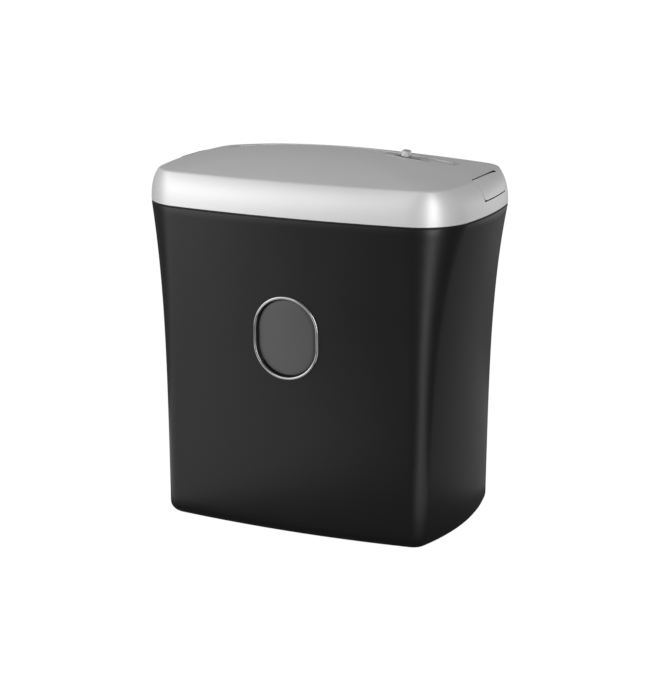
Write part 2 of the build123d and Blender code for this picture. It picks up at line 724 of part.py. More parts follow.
def compound_gear(axis, big, small, phase, plane, bore):
    """Large gear and pinion moulded as one, the pinion in the next plane."""
    with BuildPart() as gear:
        add(gear_solid(axis, big[0], big[1], phase, plane, plane + gear_width, bore))
        add(gear_solid(axis, small[0], small[1], phase, plane + gear_width, plane + 2 * gear_width + 1, bore))
    return gear.part


pin_bore = gear_pin_radius + running_clearance
gear_first = compound_gear(first_axis, (first_teeth, first_module), (second_pinion_teeth, second_module),
                           first_phase, gear_plane[0], pin_bore)
gear_second = compound_gear(second_axis, (second_teeth, second_module), (third_pinion_teeth, third_module),
                            second_phase, gear_plane[1], pin_bore)
finish(gear_first, "gear_first_stage")
finish(gear_second, "gear_second_stage")

# ---- Cutter frame ----
plate_bottom, plate_top_left, plate_top_right = tub_floor, cutter_z + 28, cutter_z + 41
rod_z = [cutter_z, cutter_z - 22]
rod_spots = [(y, z) for y in (rod_front_y, rod_rear_y) for z in rod_z]
guard_x, guard_thickness = gear_plane[2] + gear_width + 0.8, 1.6
guard_posts = [(38.0, cutter_z + 30.0), (0.0, cutter_z + 37.0), (-24.0, cutter_z - 26.0)]
motor_screw_spots = [step_from(motor_axis, 13.0, angle) for angle in (15, 195)]
bush_radius = 10.0


def foot_tab(x, y):
    """Bent foot of a side plate, with its screw hole."""
    edge = plate_x + plate_thickness / 2
    low_x, high_x = (edge, x + 5) if x > plate_x else (x - 5, edge)
    with BuildPart() as tab:
        add(box_between((low_x, y - 6, plate_bottom), (high_x, y + 6, plate_bottom + plate_thickness)))
        add(rod_along_z(x, y, screw_hole_radius, plate_bottom - 1, plate_bottom + 4), mode=Mode.SUBTRACT)
    return tab.part


def frame_plate(side, low_y, high_y, top):
    """Steel side plate with bores for the bushes, and feet bent outwards or inwards."""
    inner = side * plate_x if side > 0 else -plate_x - plate_thickness
    with BuildPart() as plate:
        with BuildSketch(Plane.YZ.offset(inner)):
            with Locations(((low_y + high_y) / 2, (plate_bottom + top) / 2)):
                RectangleRounded(high_y - low_y, top - plate_bottom, 4)
            with Locations(front_axis, rear_axis):
                Circle(bush_radius, mode=Mode.SUBTRACT)
            with Locations(*rod_spots):
                Circle(screw_hole_radius, mode=Mode.SUBTRACT)
            with Locations((slot_y, plate_bottom + 3)):
                Rectangle(24, 8, mode=Mode.SUBTRACT)
            if side > 0:
                with Locations(motor_axis):
                    Circle(7.5, mode=Mode.SUBTRACT)
                with Locations(*motor_screw_spots):
                    Circle(screw_hole_radius, mode=Mode.SUBTRACT)
                with Locations(first_axis, second_axis):
                    Circle(gear_pin_radius - 0.5, mode=Mode.SUBTRACT)
                with Locations(*guard_posts):
                    Circle(post_thread_radius, mode=Mode.SUBTRACT)
        extrude(amount=plate_thickness)
        for x, y in tab_spots["right" if side > 0 else "left"]:
            add(mirrored(foot_tab(abs(x), y), side))
    return plate.part


finish(frame_plate(-1, rod_front_y - 6, rod_rear_y + 5, plate_top_left), "frame_plate_left")
finish(frame_plate(1, -69.0, rod_rear_y + 5, plate_top_right), "frame_plate_right")


def tie_rod(spot):
    """Round bar between the side plates, drilled at both ends for its screws."""
    with BuildPart() as rod:
        add(rod_along_x(spot, rod_radius, -plate_x, plate_x))
        for end in (-plate_x, plate_x):
            add(rod_along_x(spot, plate_thread_radius, end - 9, end + 9), mode=Mode.SUBTRACT)
    return rod.part


group([tie_rod(spot) for spot in rod_spots], "tie_rods")


def screw_along_x(spot, seat, side, length, radius, head_radius=2.8, head_height=1.8):
    """Screw along X whose head sits outside a plate, its shank pointing inwards."""
    turn = Rot(0, 90 * side, 0) * screw_down(0, 0, 0, length, radius, head_radius, head_height)
    return Location((seat, spot[0], spot[1])) * turn


rod_screws = []
for side in (-1, 1):
    for spot in rod_spots:
        rod_screws.append(screw_along_x(spot, side * (plate_x + plate_thickness), side, 8, 1.25))
foot_screws = [screw_up(x, y, tub_bottom, 5.2, 1.5) for x, y in all_tabs]


def shaft_bush(centre, side):
    """Flanged plain bush in a side plate."""
    low = plate_x - 0.2 if side > 0 else -plate_x - plate_thickness - 0.6
    flange = plate_x + plate_thickness if side > 0 else -plate_x - plate_thickness - 0.6
    with BuildPart() as bush:
        add(rod_along_x(centre, bush_radius - 0.02, low, low + plate_thickness + 0.8))
        add(rod_along_x(centre, bush_radius + 1.5, flange, flange + 0.6))
        add(rod_along_x(centre, journal_radius + running_clearance, low - 1, low + 5), mode=Mode.SUBTRACT)
    return bush.part


group([shaft_bush(axis, side) for axis in (front_axis, rear_axis) for side in (-1, 1)], "shaft_bushes")


def stripper_comb(rod_y, shaft_y, first_gap_x, count):
    """Bar around the upper tie rod, with a finger in each gap between the discs."""
    towards = 1 if shaft_y > rod_y else -1
    tip_y = shaft_y - towards * (hub_radius + 0.7)
    bar_half = 3.4
    with BuildPart() as comb:
        add(box_between((-plate_x + 0.2, rod_y - bar_half, cutter_z - 5),
                        (plate_x - 0.2, rod_y + bar_half, cutter_z + 5)))
        add(rod_along_x((rod_y, cutter_z), rod_radius + 0.02, -plate_x, plate_x), mode=Mode.SUBTRACT)
        inner_y = rod_y + towards * (bar_half - 0.2)
        low_y, high_y = min(inner_y, tip_y), max(inner_y, tip_y)
        middle_y = (low_y + high_y) / 2
        fingers = [(first_gap_x + index * disc_pitch, middle_y, cutter_z) for index in range(count)]
        with Locations(*fingers):
            Box(disc_pitch - disc_thickness - 0.7, high_y - low_y, 7)
    return comb.part


finish(stripper_comb(rod_front_y, front_y, -cutting_half + disc_pitch / 2, disc_count - 1), "comb_front")
finish(stripper_comb(rod_rear_y, rear_y, -cutting_half + disc_pitch, disc_count - 2), "comb_rear")


def gear_pin(axis, high):
    """Pin riveted into the right side plate, with a groove for its clip."""
    with BuildPart() as pin:
        add(rod_along_x(axis, gear_pin_radius - 0.5, plate_x, plate_x + plate_thickness))
        add(rod_along_x(axis, gear_pin_radius, plate_x + plate_thickness, high))
    return pin.part


first_pin_high = gear_plane[1] + gear_width + 3.2
group([gear_pin(first_axis, first_pin_high), gear_pin(second_axis, guard_x + guard_thickness)], "gear_pins")
with BuildPart() as gear_clip:
    with BuildSketch(Plane.YZ.offset(gear_plane[1] + gear_width + 1.2)):
        with Locations(first_axis):
            Circle(5.2)
            Circle(gear_pin_radius, mode=Mode.SUBTRACT)
            with Locations((-4, 0)):
                Rectangle(4, 3, mode=Mode.SUBTRACT)
    extrude(amount=1.0)
finish(gear_clip.part, "gear_clip")

with BuildPart() as gear_guard:
    guard_low, guard_high = (-32.0, cutter_z - 30.0), (43.0, cutter_z + 41.0)
    with BuildSketch(Plane.YZ.offset(guard_x)):
        with Locations(((guard_low[0] + guard_high[0]) / 2, (guard_low[1] + guard_high[1]) / 2)):
            RectangleRounded(guard_high[0] - guard_low[0], guard_high[1] - guard_low[1], 6)
        with Locations(front_axis):
            Circle(journal_radius + 3.5, mode=Mode.SUBTRACT)
        with Locations(second_axis):
            Circle(gear_pin_radius + 0.02, mode=Mode.SUBTRACT)
    extrude(amount=guard_thickness)
    for post in guard_posts:
        add(rod_along_x(post, 3.0, plate_x + plate_thickness, guard_x + 0.1))
        add(rod_along_x(post, post_thread_radius, plate_x, guard_x + guard_thickness + 1), mode=Mode.SUBTRACT)
finish(gear_guard.part, "gear_guard")
guard_face = guard_x + guard_thickness
guard_screws = []
for post in guard_posts:
    guard_screws.append(screw_along_x(post, guard_face, 1, guard_face - plate_x, 1.15, 2.4, 1.4))

# ---- Motor ----
motor_radius, motor_low, motor_high = 22.0, 40.0, plate_x
can_wall, air_gap_radius = 1.5, 15.0
motor_shaft_radius, armature_radius = 2.0, 11.0
with BuildPart() as motor_can:
    add(rod_along_x(motor_axis, motor_radius, motor_low + 5, motor_high))
    fillet(motor_can.edges().filter_by(GeomType.CIRCLE), radius=1)
    bore_radius = motor_radius - can_wall
    add(rod_along_x(motor_axis, bore_radius, motor_low, motor_high - can_wall), mode=Mode.SUBTRACT)
    add(rod_along_x(motor_axis, 6.5, motor_high - 3, motor_high + 1), mode=Mode.SUBTRACT)
    for spot in motor_screw_spots:
        add(rod_along_x(spot, plate_thread_radius, motor_high - 3, motor_high + 1), mode=Mode.SUBTRACT)
finish(motor_can.part, "motor_can")
with BuildPart() as motor_magnets:
    magnet_radius = motor_radius - can_wall - 0.02
    add(tube_along_x(motor_axis, magnet_radius, air_gap_radius, motor_low + 16, motor_high - 14))
    add(box_between((motor_low, motor_axis[0] - motor_radius, motor_axis[1] - 5),
                    (motor_high, motor_axis[0] + motor_radius, motor_axis[1] + 5)), mode=Mode.SUBTRACT)
finish(motor_magnets.part, "motor_magnets")
with BuildPart() as motor_end_cap:
    add(rod_along_x(motor_axis, motor_radius, motor_low, motor_low + 5))
    fillet(motor_end_cap.edges().group_by(Axis.X)[0], radius=1.5)
    add(rod_along_x(motor_axis, 7.5, motor_low - 3, motor_low + 4))
    add(rod_along_x(motor_axis, 3.0, motor_low - 4, motor_low + 6), mode=Mode.SUBTRACT)
    for side in (-1, 1):
        add(box_between((motor_low - 6, motor_axis[0] + side * 14 - 3, motor_axis[1] - 0.4),
                        (motor_low + 1, motor_axis[0] + side * 14 + 3, motor_axis[1] + 0.4)))
finish(motor_end_cap.part, "motor_end_cap")
bearing_spans = [(motor_low - 2.5, motor_low + 3.5, 3.0), (motor_high - 4.5, motor_high + 1.0, 6.5)]
bearing_bore = motor_shaft_radius + running_clearance
bearings = []
for low, high, radius in bearing_spans:
    bearings.append(tube_along_x(motor_axis, radius - 0.02, bearing_bore, low, high))
group(bearings, "motor_bearings")
motor_screws = []
for spot in motor_screw_spots:
    motor_screws.append(screw_along_x(spot, plate_x + plate_thickness, 1, 6, 1.25, 2.6, 0.9))
group(rod_screws + foot_screws + guard_screws + motor_screws, "frame_screws")

with BuildPart() as motor_shaft:
    add(rod_along_x(motor_axis, motor_shaft_radius, motor_low - 2, gear_plane[0] + gear_width + 0.5))
    chamfer(motor_shaft.edges().filter_by(GeomType.CIRCLE), length=0.3)
finish(motor_shaft.part, "motor_shaft")
with BuildPart() as motor_armature:
    with BuildSketch(Plane.YZ.offset(motor_low + 22)):
        with Locations(motor_axis):
            Circle(armature_radius)
            with PolarLocations(armature_radius - 1.8, 9):
                Rectangle(4.4, 1.8, mode=Mode.SUBTRACT)
            Circle(motor_shaft_radius, mode=Mode.SUBTRACT)
    extrude(amount=30)
    add(tube_along_x(motor_axis, 5.0, motor_shaft_radius, motor_low + 9, motor_low + 19))
finish(motor_armature.part, "motor_armature")
motor_pinion = gear_solid(motor_axis, pinion_teeth, first_module, motor_phase, gear_plane[0],
                          gear_plane[0] + gear_width, motor_shaft_radius)
finish(motor_pinion, "motor_pinion")

# ---- Control board ----
with BuildPart() as control_board:
    add(box_between((*board_low, board_z), (*board_high, board_z + 1.6)))
    fillet(control_board.edges().filter_by(Axis.Z), radius=2)
    for x, y in board_holes:
        add(rod_along_z(x, y, 1.3, board_z - 1, board_z + 3), mode=Mode.SUBTRACT)
finish(control_board.part, "control_board")
board_top = board_z + 1.6
group([screw_down(x, y, board_top, 5, 1.05) for x, y in board_holes], "board_screws")


def board_block(name, x, y, length, width, height, edge=0.8):
    """Moulded component standing on the board."""
    with BuildPart() as block:
        add(box_between((x, y, board_top), (x + length, y + width, board_top + height)))
        fillet(block.edges().filter_by(Axis.Z), radius=edge)
        chamfer(block.faces().sort_by(Axis.Z)[-1].edges(), length=0.4)
    finish(block.part, name)


board_block("board_relay", -88, -62, 19, 15, 15)
board_block("board_transformer", -62, -62, 24, 20, 17, 1.5)
with BuildPart() as board_capacitor:
    add(rod_along_z(-44, -34, 5.0, board_top, board_top + 15))
    fillet(board_capacitor.edges().group_by(Axis.Z)[-1], radius=0.8)
finish(board_capacitor.part, "board_capacitor")
with BuildPart() as board_terminals:
    add(box_between((-86, -36, board_top), (-62, -28, board_top + 10)))
    for index in range(4):
        x = -83 + 6 * index
        add(rod_along_z(x, -32, 1.9, board_top + 7.5, board_top + 11), mode=Mode.SUBTRACT)
        add(box_between((x - 1.5, -37, board_top + 1.5), (x + 1.5, -33, board_top + 4.5)), mode=Mode.SUBTRACT)
finish(board_terminals.part, "board_terminals")

# ---- Paper sensor in the throat ----
sensor_pin_radius = 1.0
sensor_face = slot_y - guide_half_y
with BuildPart() as sensor_bracket:
    add(box_between((-7, sensor_pivot_y - 4, sensor_pivot_z - 7), (7, sensor_face, sensor_pivot_z + 4)))
    add(box_between((-2.2, sensor_pivot_y - 6, sensor_pivot_z - 5),
                    (2.2, sensor_face + 1, sensor_pivot_z + 6)), mode=Mode.SUBTRACT)
    add(rod_along_x((sensor_pivot_y, sensor_pivot_z), sensor_pin_radius, -8, 8), mode=Mode.SUBTRACT)
finish(sensor_bracket.part, "sensor_bracket")
finish(rod_along_x((sensor_pivot_y, sensor_pivot_z), sensor_pin_radius, -7, 7), "sensor_pin")
with BuildPart() as sensor_lever:
    with BuildSketch(Plane.YZ.offset(-1.6)):
        with Locations((sensor_pivot_y, sensor_pivot_z)):
            Circle(2.4)
            with Locations((0, -0.9)):
                Rectangle(14.6, 1.8, align=(Align.MIN, Align.MIN))
        with Locations((sensor_pivot_y, sensor_pivot_z)):
            Circle(sensor_pin_radius + running_clearance, mode=Mode.SUBTRACT)
    extrude(amount=3.2)
finish(sensor_lever.part, "sensor_lever")
with BuildPart() as sensor_switch:
    add(box_between((-10, sensor_pivot_y - 3, sensor_pivot_z - 17), (10, sensor_face, sensor_pivot_z - 7)))
    fillet(sensor_switch.edges().filter_by(Axis.X), radius=0.8)
    for x in (-8, 0, 8):
        add(box_between((x - 0.4, sensor_pivot_y, sensor_pivot_z - 21),
                        (x + 0.4, sensor_pivot_y + 3, sensor_pivot_z - 16)))
finish(sensor_switch.part, "sensor_switch")

# ---- Bin interlock ----
case_top = flange_top + 12.0
cavity_radius = 2.1
with BuildPart() as interlock_switch:
    add(box_between((plunger_x - 10, plunger_y - 2.8, flange_top),
                    (plunger_x + 10, plunger_y + 2.7, case_top)))
    fillet(interlock_switch.edges().filter_by(Axis.Y), radius=1)
    add(rod_along_z(plunger_x, plunger_y, cavity_radius, flange_top + 1, case_top - 2), mode=Mode.SUBTRACT)
    add(rod_along_z(plunger_x, plunger_y, plunger_hole, flange_top - 1, flange_top + 2), mode=Mode.SUBTRACT)
finish(interlock_switch.part, "interlock_switch")
collar_low = flange_top + 1.3
with BuildPart() as interlock_plunger:
    add(rod_along_z(plunger_x, plunger_y, plunger_radius, rib_top + 0.3, collar_low + 0.5))
    add(rod_along_z(plunger_x, plunger_y, 1.8, collar_low, collar_low + 1.4))
    fillet(interlock_plunger.edges().group_by(Axis.Z)[0], radius=0.8)
finish(interlock_plunger.part, "interlock_plunger")
spring_low, spring_high, spring_turns = collar_low + 1.4 + 0.2, case_top - 2.2, 5
spring_radius, spring_wire = 1.4, 0.16
with BuildPart() as interlock_spring:
    with BuildLine():
        Helix((spring_high - spring_low) / spring_turns, spring_high - spring_low, spring_radius,
              center=(plunger_x, plunger_y, spring_low))
    with BuildSketch(Plane(origin=(plunger_x + spring_radius, plunger_y, spring_low), z_dir=(0, 1, 0))):
        Circle(spring_wire)
    sweep(is_frenet=True)
finish(interlock_spring.part, "interlock_spring")
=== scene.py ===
"""Looks of the desktop paper shredder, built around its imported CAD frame.

The frame is in metres, with +Z up and the front towards -Y. Dimensions below are in millimetres.
"""
import bmesh
import bpy
import json
import math
import numpy as np
from mathutils import Matrix, Vector


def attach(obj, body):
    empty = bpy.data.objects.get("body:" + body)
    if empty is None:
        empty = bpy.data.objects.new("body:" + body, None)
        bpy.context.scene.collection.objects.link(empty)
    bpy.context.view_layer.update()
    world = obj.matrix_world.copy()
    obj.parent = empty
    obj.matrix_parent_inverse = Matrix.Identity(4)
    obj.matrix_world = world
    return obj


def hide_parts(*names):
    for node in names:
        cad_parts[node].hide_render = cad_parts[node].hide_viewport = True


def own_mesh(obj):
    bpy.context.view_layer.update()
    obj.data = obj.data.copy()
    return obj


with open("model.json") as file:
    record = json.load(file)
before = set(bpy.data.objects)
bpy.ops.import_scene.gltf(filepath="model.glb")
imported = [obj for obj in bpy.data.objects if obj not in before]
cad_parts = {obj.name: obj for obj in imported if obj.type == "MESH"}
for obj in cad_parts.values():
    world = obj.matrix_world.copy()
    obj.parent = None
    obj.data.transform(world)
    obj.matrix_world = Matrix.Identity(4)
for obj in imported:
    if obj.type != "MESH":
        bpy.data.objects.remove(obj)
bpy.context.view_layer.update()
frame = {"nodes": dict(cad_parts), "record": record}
MM = 0.001
X, Y, Z = 0, 1, 2           # axes of a prism

# ---- Driving dimensions of the shells, in millimetres, as in the CAD part ----
FOOT, BIN_HEIGHT, BAND_HEIGHT, DOME_RISE = 1.5, 295.7, 32.0, 16.4
WALL, BIN_FLOOR, BIN_EDGE, SEAM = 2.5, 3.0, 10.0, 1.2
RIM_ROUND = 0.8             # height of the round lip along the bin's rim
INNER_EDGE = 5.0            # radius between the bin's inner wall and its floor
# Half width, half depth, bow of the long sides, bow of the ends, corner radius.
FOOT_OUTLINE = np.array([140.7, 90.4, 8.1, 12.0, 16.0])
RIM_OUTLINE = np.array([160.0, 96.2, 11.6, 11.4, 48.3])
EDGE_OUTLINE = np.array([148.7, 88.0, 8.8, 9.5, 26.0])
DOME_BLEND = 1.6            # how soon the dome's contours turn into the oval
BAND_CURL = 2.8             # how late the band curls in towards its top
BIN_TOP = FOOT + BIN_HEIGHT
BAND_TOP = BIN_TOP + BAND_HEIGHT
CREST = BAND_TOP + DOME_RISE
EDGE_START = BAND_TOP - 1.1  # height at which the band rounds onto the dome
EDGE_END = 0.988            # share of the way from the crest at which that rounding ends
CUT_LOW, CUT_HIGH = BAND_TOP + 2, CREST + 5     # heights of the cutters through the dome
FIT = 0.05                  # clearance of a piece in its hole

WINDOW_Z = FOOT + 186.2
RING_WIDTH, RING_HEIGHT, RING_CORNER, RING_BAND = 64.8, 77.6, 32.2, 4.2
WINDOW_MARGIN = 2.4         # from the ring's outside to the hole in the bin
WINDOW_CUT = (-130, -60)    # in Y, of the cutter through the front wall
RIB_LEFT, RIB_RIGHT, RIB_INNER, RIB_OUTER = -66.0, -54.0, 84.4, 91.3
RIB_LOW, RIB_HIGH, RIB_BEVEL = BIN_TOP - 33, BIN_TOP - 7, 0.6

HANDLE_FRONT, HANDLE_REAR, HANDLE_BOTTOM, HANDLE_TOP_X = -13.0, 44.0, BIN_TOP + 14.9, 147.2
HANDLE_THICKNESS, HANDLE_PROUD, HANDLE_CORNER, HANDLE_BEVEL = 2.2, 0.4, 3.0, 0.3
SIDE_GAP, LINE_GAP, OPENING_CORNER = 0.5, 1.2, 0.6
OPENING_HEIGHT = 60.0       # of the cutter, which leaves through the dome
OPENING_REACH = 175.0       # of the cutter, past the head's ends
PIVOT_X, PIVOT_Z, HINGE_RELIEF = 147.8, 324.5, 6.0
LUG_SPANS = [(-6.0, -2.0), (16.0, 20.0)]
EAR_GAP, EAR_THICKNESS, EAR_RADIUS, PIN_BORE = 0.3, 3.0, 2.6, 1.15

SLOT_Y, MOUTH_X, MOUTH_Y, MOUTH_CORNER = 28.0, 116.0, 7.5, 1.5
SWITCH_X, SWITCH_Y = 73.5, 11.0
# Length, width and corner radius of the strip, of the slot in it and of the hole under it.
STRIP_SIZE, STRIP_SLOT, SWITCH_HOLE = (43.0, 14.0, 3), (26, 4.6, 0.6), (34, 8, 1)
STRIP_PROUD, STRIP_DEPTH, STRIP_BEVEL = 0.6, 0.02, 0.22
KNOB_X, KNOB_LENGTH, KNOB_WIDTH, KNOB_HEIGHT, KNOB_CORNER = 72.0, 8.0, 9.0, 5.2, 1.8
KNOB_LIFT = 1.0             # of the cap above the dome
STEM_SIZE, STEM_LOW, STEM_HIGH = (5.0, 3.4, 0.8), -10.4, 0.3
GROOVE_PITCH, GROOVE_DEPTH, GROOVE_REACH = 1.2, 0.45, 3.6
GROOVE_FLOOR, GROOVE_MOUTH = 0.22, 0.35         # half widths
GLAND_X, GLAND_Z, GLAND_RADIUS = 70.0, BIN_TOP + 13.0, 6.0
GLAND_CUT = (80, 110)       # in Y, of the cutter through the rear wall

PLUNGER_X, PLUNGER_Y, PRESS_TRAVEL = -60.0, 86.4, 1.5
SPRING_LOW, SPRING_HIGH = BIN_TOP + 6.9, BIN_TOP + 13.8
SPRING_RADIUS, SPRING_WIRE, SPRING_TURNS = 1.4, 0.16, 5

# ---- Rings and steps that the larger faces are divided into ----
BIN_RINGS, INNER_RINGS = 44, 30
PANEL_RINGS, PANEL_STEPS, PANEL_COLUMNS = 60, 56, 40


# ---- Outlines ----
def outline(spec, inset=0.0, counts=(26, 14, 16)):
    """Closed loop of four bowed sides with rounded corners, counter-clockwise from the front.

    Each side and end is a circular arc. A corner is the arc inside both that touches both.
    """
    half_width, half_depth, side_bow, end_bow, corner = np.asarray(spec)
    half_width, half_depth = half_width - inset, half_depth - inset
    corner = max(corner - inset, 1.0)
    corner_x, corner_y = half_width - end_bow, half_depth - side_bow
    side_r = (corner_x**2 + side_bow**2) / (2 * side_bow)
    end_r = (corner_y**2 + end_bow**2) / (2 * end_bow)
    side_c, end_c = np.array([0, side_r - half_depth]), np.array([half_width - end_r, 0.0])
    a, b = side_r - corner, end_r - corner
    gap = end_c - side_c
    length = np.hypot(*gap)
    along = (a * a - b * b + length**2) / (2 * length)
    off = math.sqrt(max(a * a - along**2, 0))
    unit = gap / length
    middle = side_c + unit * along + np.array([unit[1], -unit[0]]) * off
    if middle[0] < 0 or middle[1] > 0:
        middle = side_c + unit * along - np.array([unit[1], -unit[0]]) * off
    start = math.atan2(*(middle - side_c)[::-1])
    end = math.atan2(*(middle - end_c)[::-1])
    sweeps = [(side_c, side_r, -math.pi / 2, start, counts[0]),
              (middle, corner, start, end, counts[1]),
              (end_c, end_r, end, 0.0, counts[2])]
    quarter = []
    for centre, radius, low, high, count in sweeps:
        for angle in np.linspace(low, high, count, endpoint=False):
            quarter.append(centre + radius * np.array([math.cos(angle), math.sin(angle)]))
    quarter.append(np.array([half_width, 0.0]))
    right = np.array(quarter)
    back = right[::-1][1:] * [1, -1]
    left = right[1:] * [-1, -1]
    front = right[::-1][1:-1] * [-1, 1]
    return np.vstack([right, back, left, front])


def bin_spec(z):
    """Outline values of the bin at a height: the flare is gentle at first and steep at the rim."""
    t = (z - FOOT) / BIN_HEIGHT
    return FOOT_OUTLINE + (RIM_OUTLINE - FOOT_OUTLINE) * (0.2 * t + 0.8 * t**4)


def head_spec(z):
    """Outline values of the head's band at a height."""
    t = min(max((z - BIN_TOP) / BAND_HEIGHT, 0.0), 1.0)
    return RIM_OUTLINE + (EDGE_OUTLINE - RIM_OUTLINE) * t**BAND_CURL


def bin_ring(z, inset=0.0, spec_z=None):
    """Loop of the bin's wall at a height, in metres."""
    xy = outline(bin_spec(z if spec_z is None else spec_z), inset)
    return np.column_stack([xy, np.full(len(xy), z)]) * MM


def head_ring(z, inset=0.0):
    """Loop of the head's band at a height, in metres."""
    xy = outline(head_spec(z), inset)
    return np.column_stack([xy, np.full(len(xy), z)]) * MM


def oval_reach(angle):
    """Distance from the middle to the oval the dome's contours tend to, in millimetres."""
    return 1 / np.hypot(np.cos(angle) / EDGE_OUTLINE[0], np.sin(angle) / EDGE_OUTLINE[1])


def dome_reach(rho, edge, oval):
    """Distance from the middle to a contour of the dome, rounder towards the crest."""
    return rho * (oval + (edge - oval) * rho**DOME_BLEND)


def dome_ring(rho, drop=0.0):
    """Loop of the dome at a share of the way from crest to edge, in metres.

    A drop lowers it, for the inner face. A negative one also grows it, for a piece that is proud.
    """
    grow = max(-drop, 0.0)
    xy = outline(EDGE_OUTLINE, -grow)
    angle, edge = np.arctan2(xy[:, 1], xy[:, 0]), np.hypot(xy[:, 0], xy[:, 1])
    reach = dome_reach(rho, edge, oval_reach(angle) + grow)
    z = np.full(len(xy), BAND_TOP + DOME_RISE * (1 - rho**2) - drop)
    return np.column_stack([reach * np.cos(angle), reach * np.sin(angle), z]) * MM


EDGE_LOOP = outline(EDGE_OUTLINE)
EDGE_ANGLES = np.unwrap(np.arctan2(EDGE_LOOP[:, 1], EDGE_LOOP[:, 0]))
EDGE_REACH = np.hypot(EDGE_LOOP[:, 0], EDGE_LOOP[:, 1])


def dome_height(x, y):
    """Height of the dome above a point, in millimetres, found by halving."""
    turn = (math.atan2(y, x) - EDGE_ANGLES[0]) % (2 * math.pi) + EDGE_ANGLES[0]
    edge = np.interp(turn, EDGE_ANGLES, EDGE_REACH, period=2 * math.pi)
    low, high = 0.0, 1.1
    for _ in range(40):
        rho = (low + high) / 2
        if dome_reach(rho, edge, oval_reach(turn)) < math.hypot(x, y):
            low = rho
        else:
            high = rho
    return BAND_TOP + DOME_RISE * (1 - rho**2)


# ---- Mesh helpers ----
def new_object(name, bm, closed=True):
    """Object from a bmesh. A closed one has its normals turned to face out."""
    if closed:
        bmesh.ops.recalc_face_normals(bm, faces=bm.faces)
    mesh = bpy.data.meshes.new(name)
    bm.to_mesh(mesh)
    bm.free()
    obj = bpy.data.objects.new(name, mesh)
    bpy.context.scene.collection.objects.link(obj)
    return obj


def smooth(obj, angle=32.0):
    """Smooth shading, sharp across edges steeper than an angle."""
    for polygon in obj.data.polygons:
        polygon.use_smooth = True
    obj.data.set_sharp_from_angle(angle=math.radians(angle))
    return obj


def ring_grid(bm, rings, cap_first=False, cap_last=False):
    """Quads between closed loops, and a flat fan over the first or last."""
    loops = [[bm.verts.new(point) for point in ring] for ring in rings]
    count = len(loops[0])
    for low, high in zip(loops, loops[1:]):
        for i in range(count):
            j = (i + 1) % count
            bm.faces.new((low[i], low[j], high[j], high[i]))
    for wanted, loop in ((cap_first, loops[0]), (cap_last, loops[-1])):
        if wanted:
            middle = bm.verts.new(sum((v.co for v in loop), Vector()) / count)
            for i in range(count):
                bm.faces.new((loop[i], loop[(i + 1) % count], middle))
    return loops


def close_rings(bm, last, first):
    """Quads from the last loop back to the first."""
    for i in range(len(first)):
        j = (i + 1) % len(first)
        bm.faces.new((last[i], last[j], first[j], first[i]))


def corner_rings(before, edge, after, steps=4):
    """Loops that round the edge between two others along a quadratic curve."""
    shares = [step / steps for step in range(steps + 1)]
    return [(1 - t) ** 2 * before + 2 * t * (1 - t) * edge + t**2 * after for t in shares]


def apply_modifiers(obj):
    """Bake the modifiers into the mesh."""
    graph = bpy.context.evaluated_depsgraph_get()
    baked = bpy.data.meshes.new_from_object(obj.evaluated_get(graph))
    old = obj.data
    obj.modifiers.clear()
    obj.data = baked
    baked.name = old.name
    bpy.data.meshes.remove(old)
    return obj


def boolean(obj, cutter, operation="DIFFERENCE"):
    """Cut or join a helper mesh, which is then deleted."""
    modifier = obj.modifiers.new("cut", "BOOLEAN")
    modifier.operation, modifier.solver, modifier.object = operation, "MANIFOLD", cutter
    bpy.context.view_layer.update()
    apply_modifiers(obj)
    mesh = cutter.data
    bpy.data.objects.remove(cutter)
    bpy.data.meshes.remove(mesh)
    return obj


def bevel(obj, width, segments=3, angle=40.0):
    """Rounded edges of a real width, in millimetres, on a mesh."""
    modifier = obj.modifiers.new("bevel", "BEVEL")
    modifier.width, modifier.segments = width * MM, segments
    modifier.limit_method, modifier.angle_limit = "ANGLE", math.radians(angle)
    modifier.use_clamp_overlap = True
    modifier.harden_normals = False
    bpy.context.view_layer.update()
    return apply_modifiers(obj)


def prism(name, points, axis, low, high):
    """Closed prism over a polygon in the plane across an axis, in millimetres."""
    bm = bmesh.new()
    loops = []
    for level in (low, high):
        loop = []
        for u, v in points:
            co = [u, v]
            co.insert(axis, level)
            loop.append(bm.verts.new(Vector(co) * MM))
        loops.append(loop)
    for i in range(len(points)):
        j = (i + 1) % len(points)
        bm.faces.new((loops[0][i], loops[0][j], loops[1][j], loops[1][i]))
    bm.faces.new(loops[0])
    bm.faces.new(loops[1])
    return new_object(name, bm)


def rounded_rectangle(width, height, radius, steps=8, centre=(0, 0)):
    """Corner points of a rectangle with round corners, counter-clockwise."""
    points = []
    for quarter, (sx, sy) in enumerate(((1, -1), (1, 1), (-1, 1), (-1, -1))):
        for step in range(steps + 1):
            angle = math.radians(-90 + 90 * quarter + 90 * step / steps)
            points.append((centre[0] + sx * (width / 2 - radius) + radius * math.cos(angle),
                           centre[1] + sy * (height / 2 - radius) + radius * math.sin(angle)))
    return points


def circle(radius, centre, steps=48):
    """Points of a circle, counter-clockwise."""
    turns = [2 * math.pi * i / steps for i in range(steps)]
    return [(centre[0] + radius * math.cos(a), centre[1] + radius * math.sin(a)) for a in turns]


# ---- Materials ----
IOR = 1.45                  # of every finish
BLOTCH = 18.0               # scale of the slow variation
TONE_SPAN = (0.3, 0.7)      # range of the noise that tone and gloss are spread over
GRAIN_DEPTH = 0.0004        # of the bump, in metres


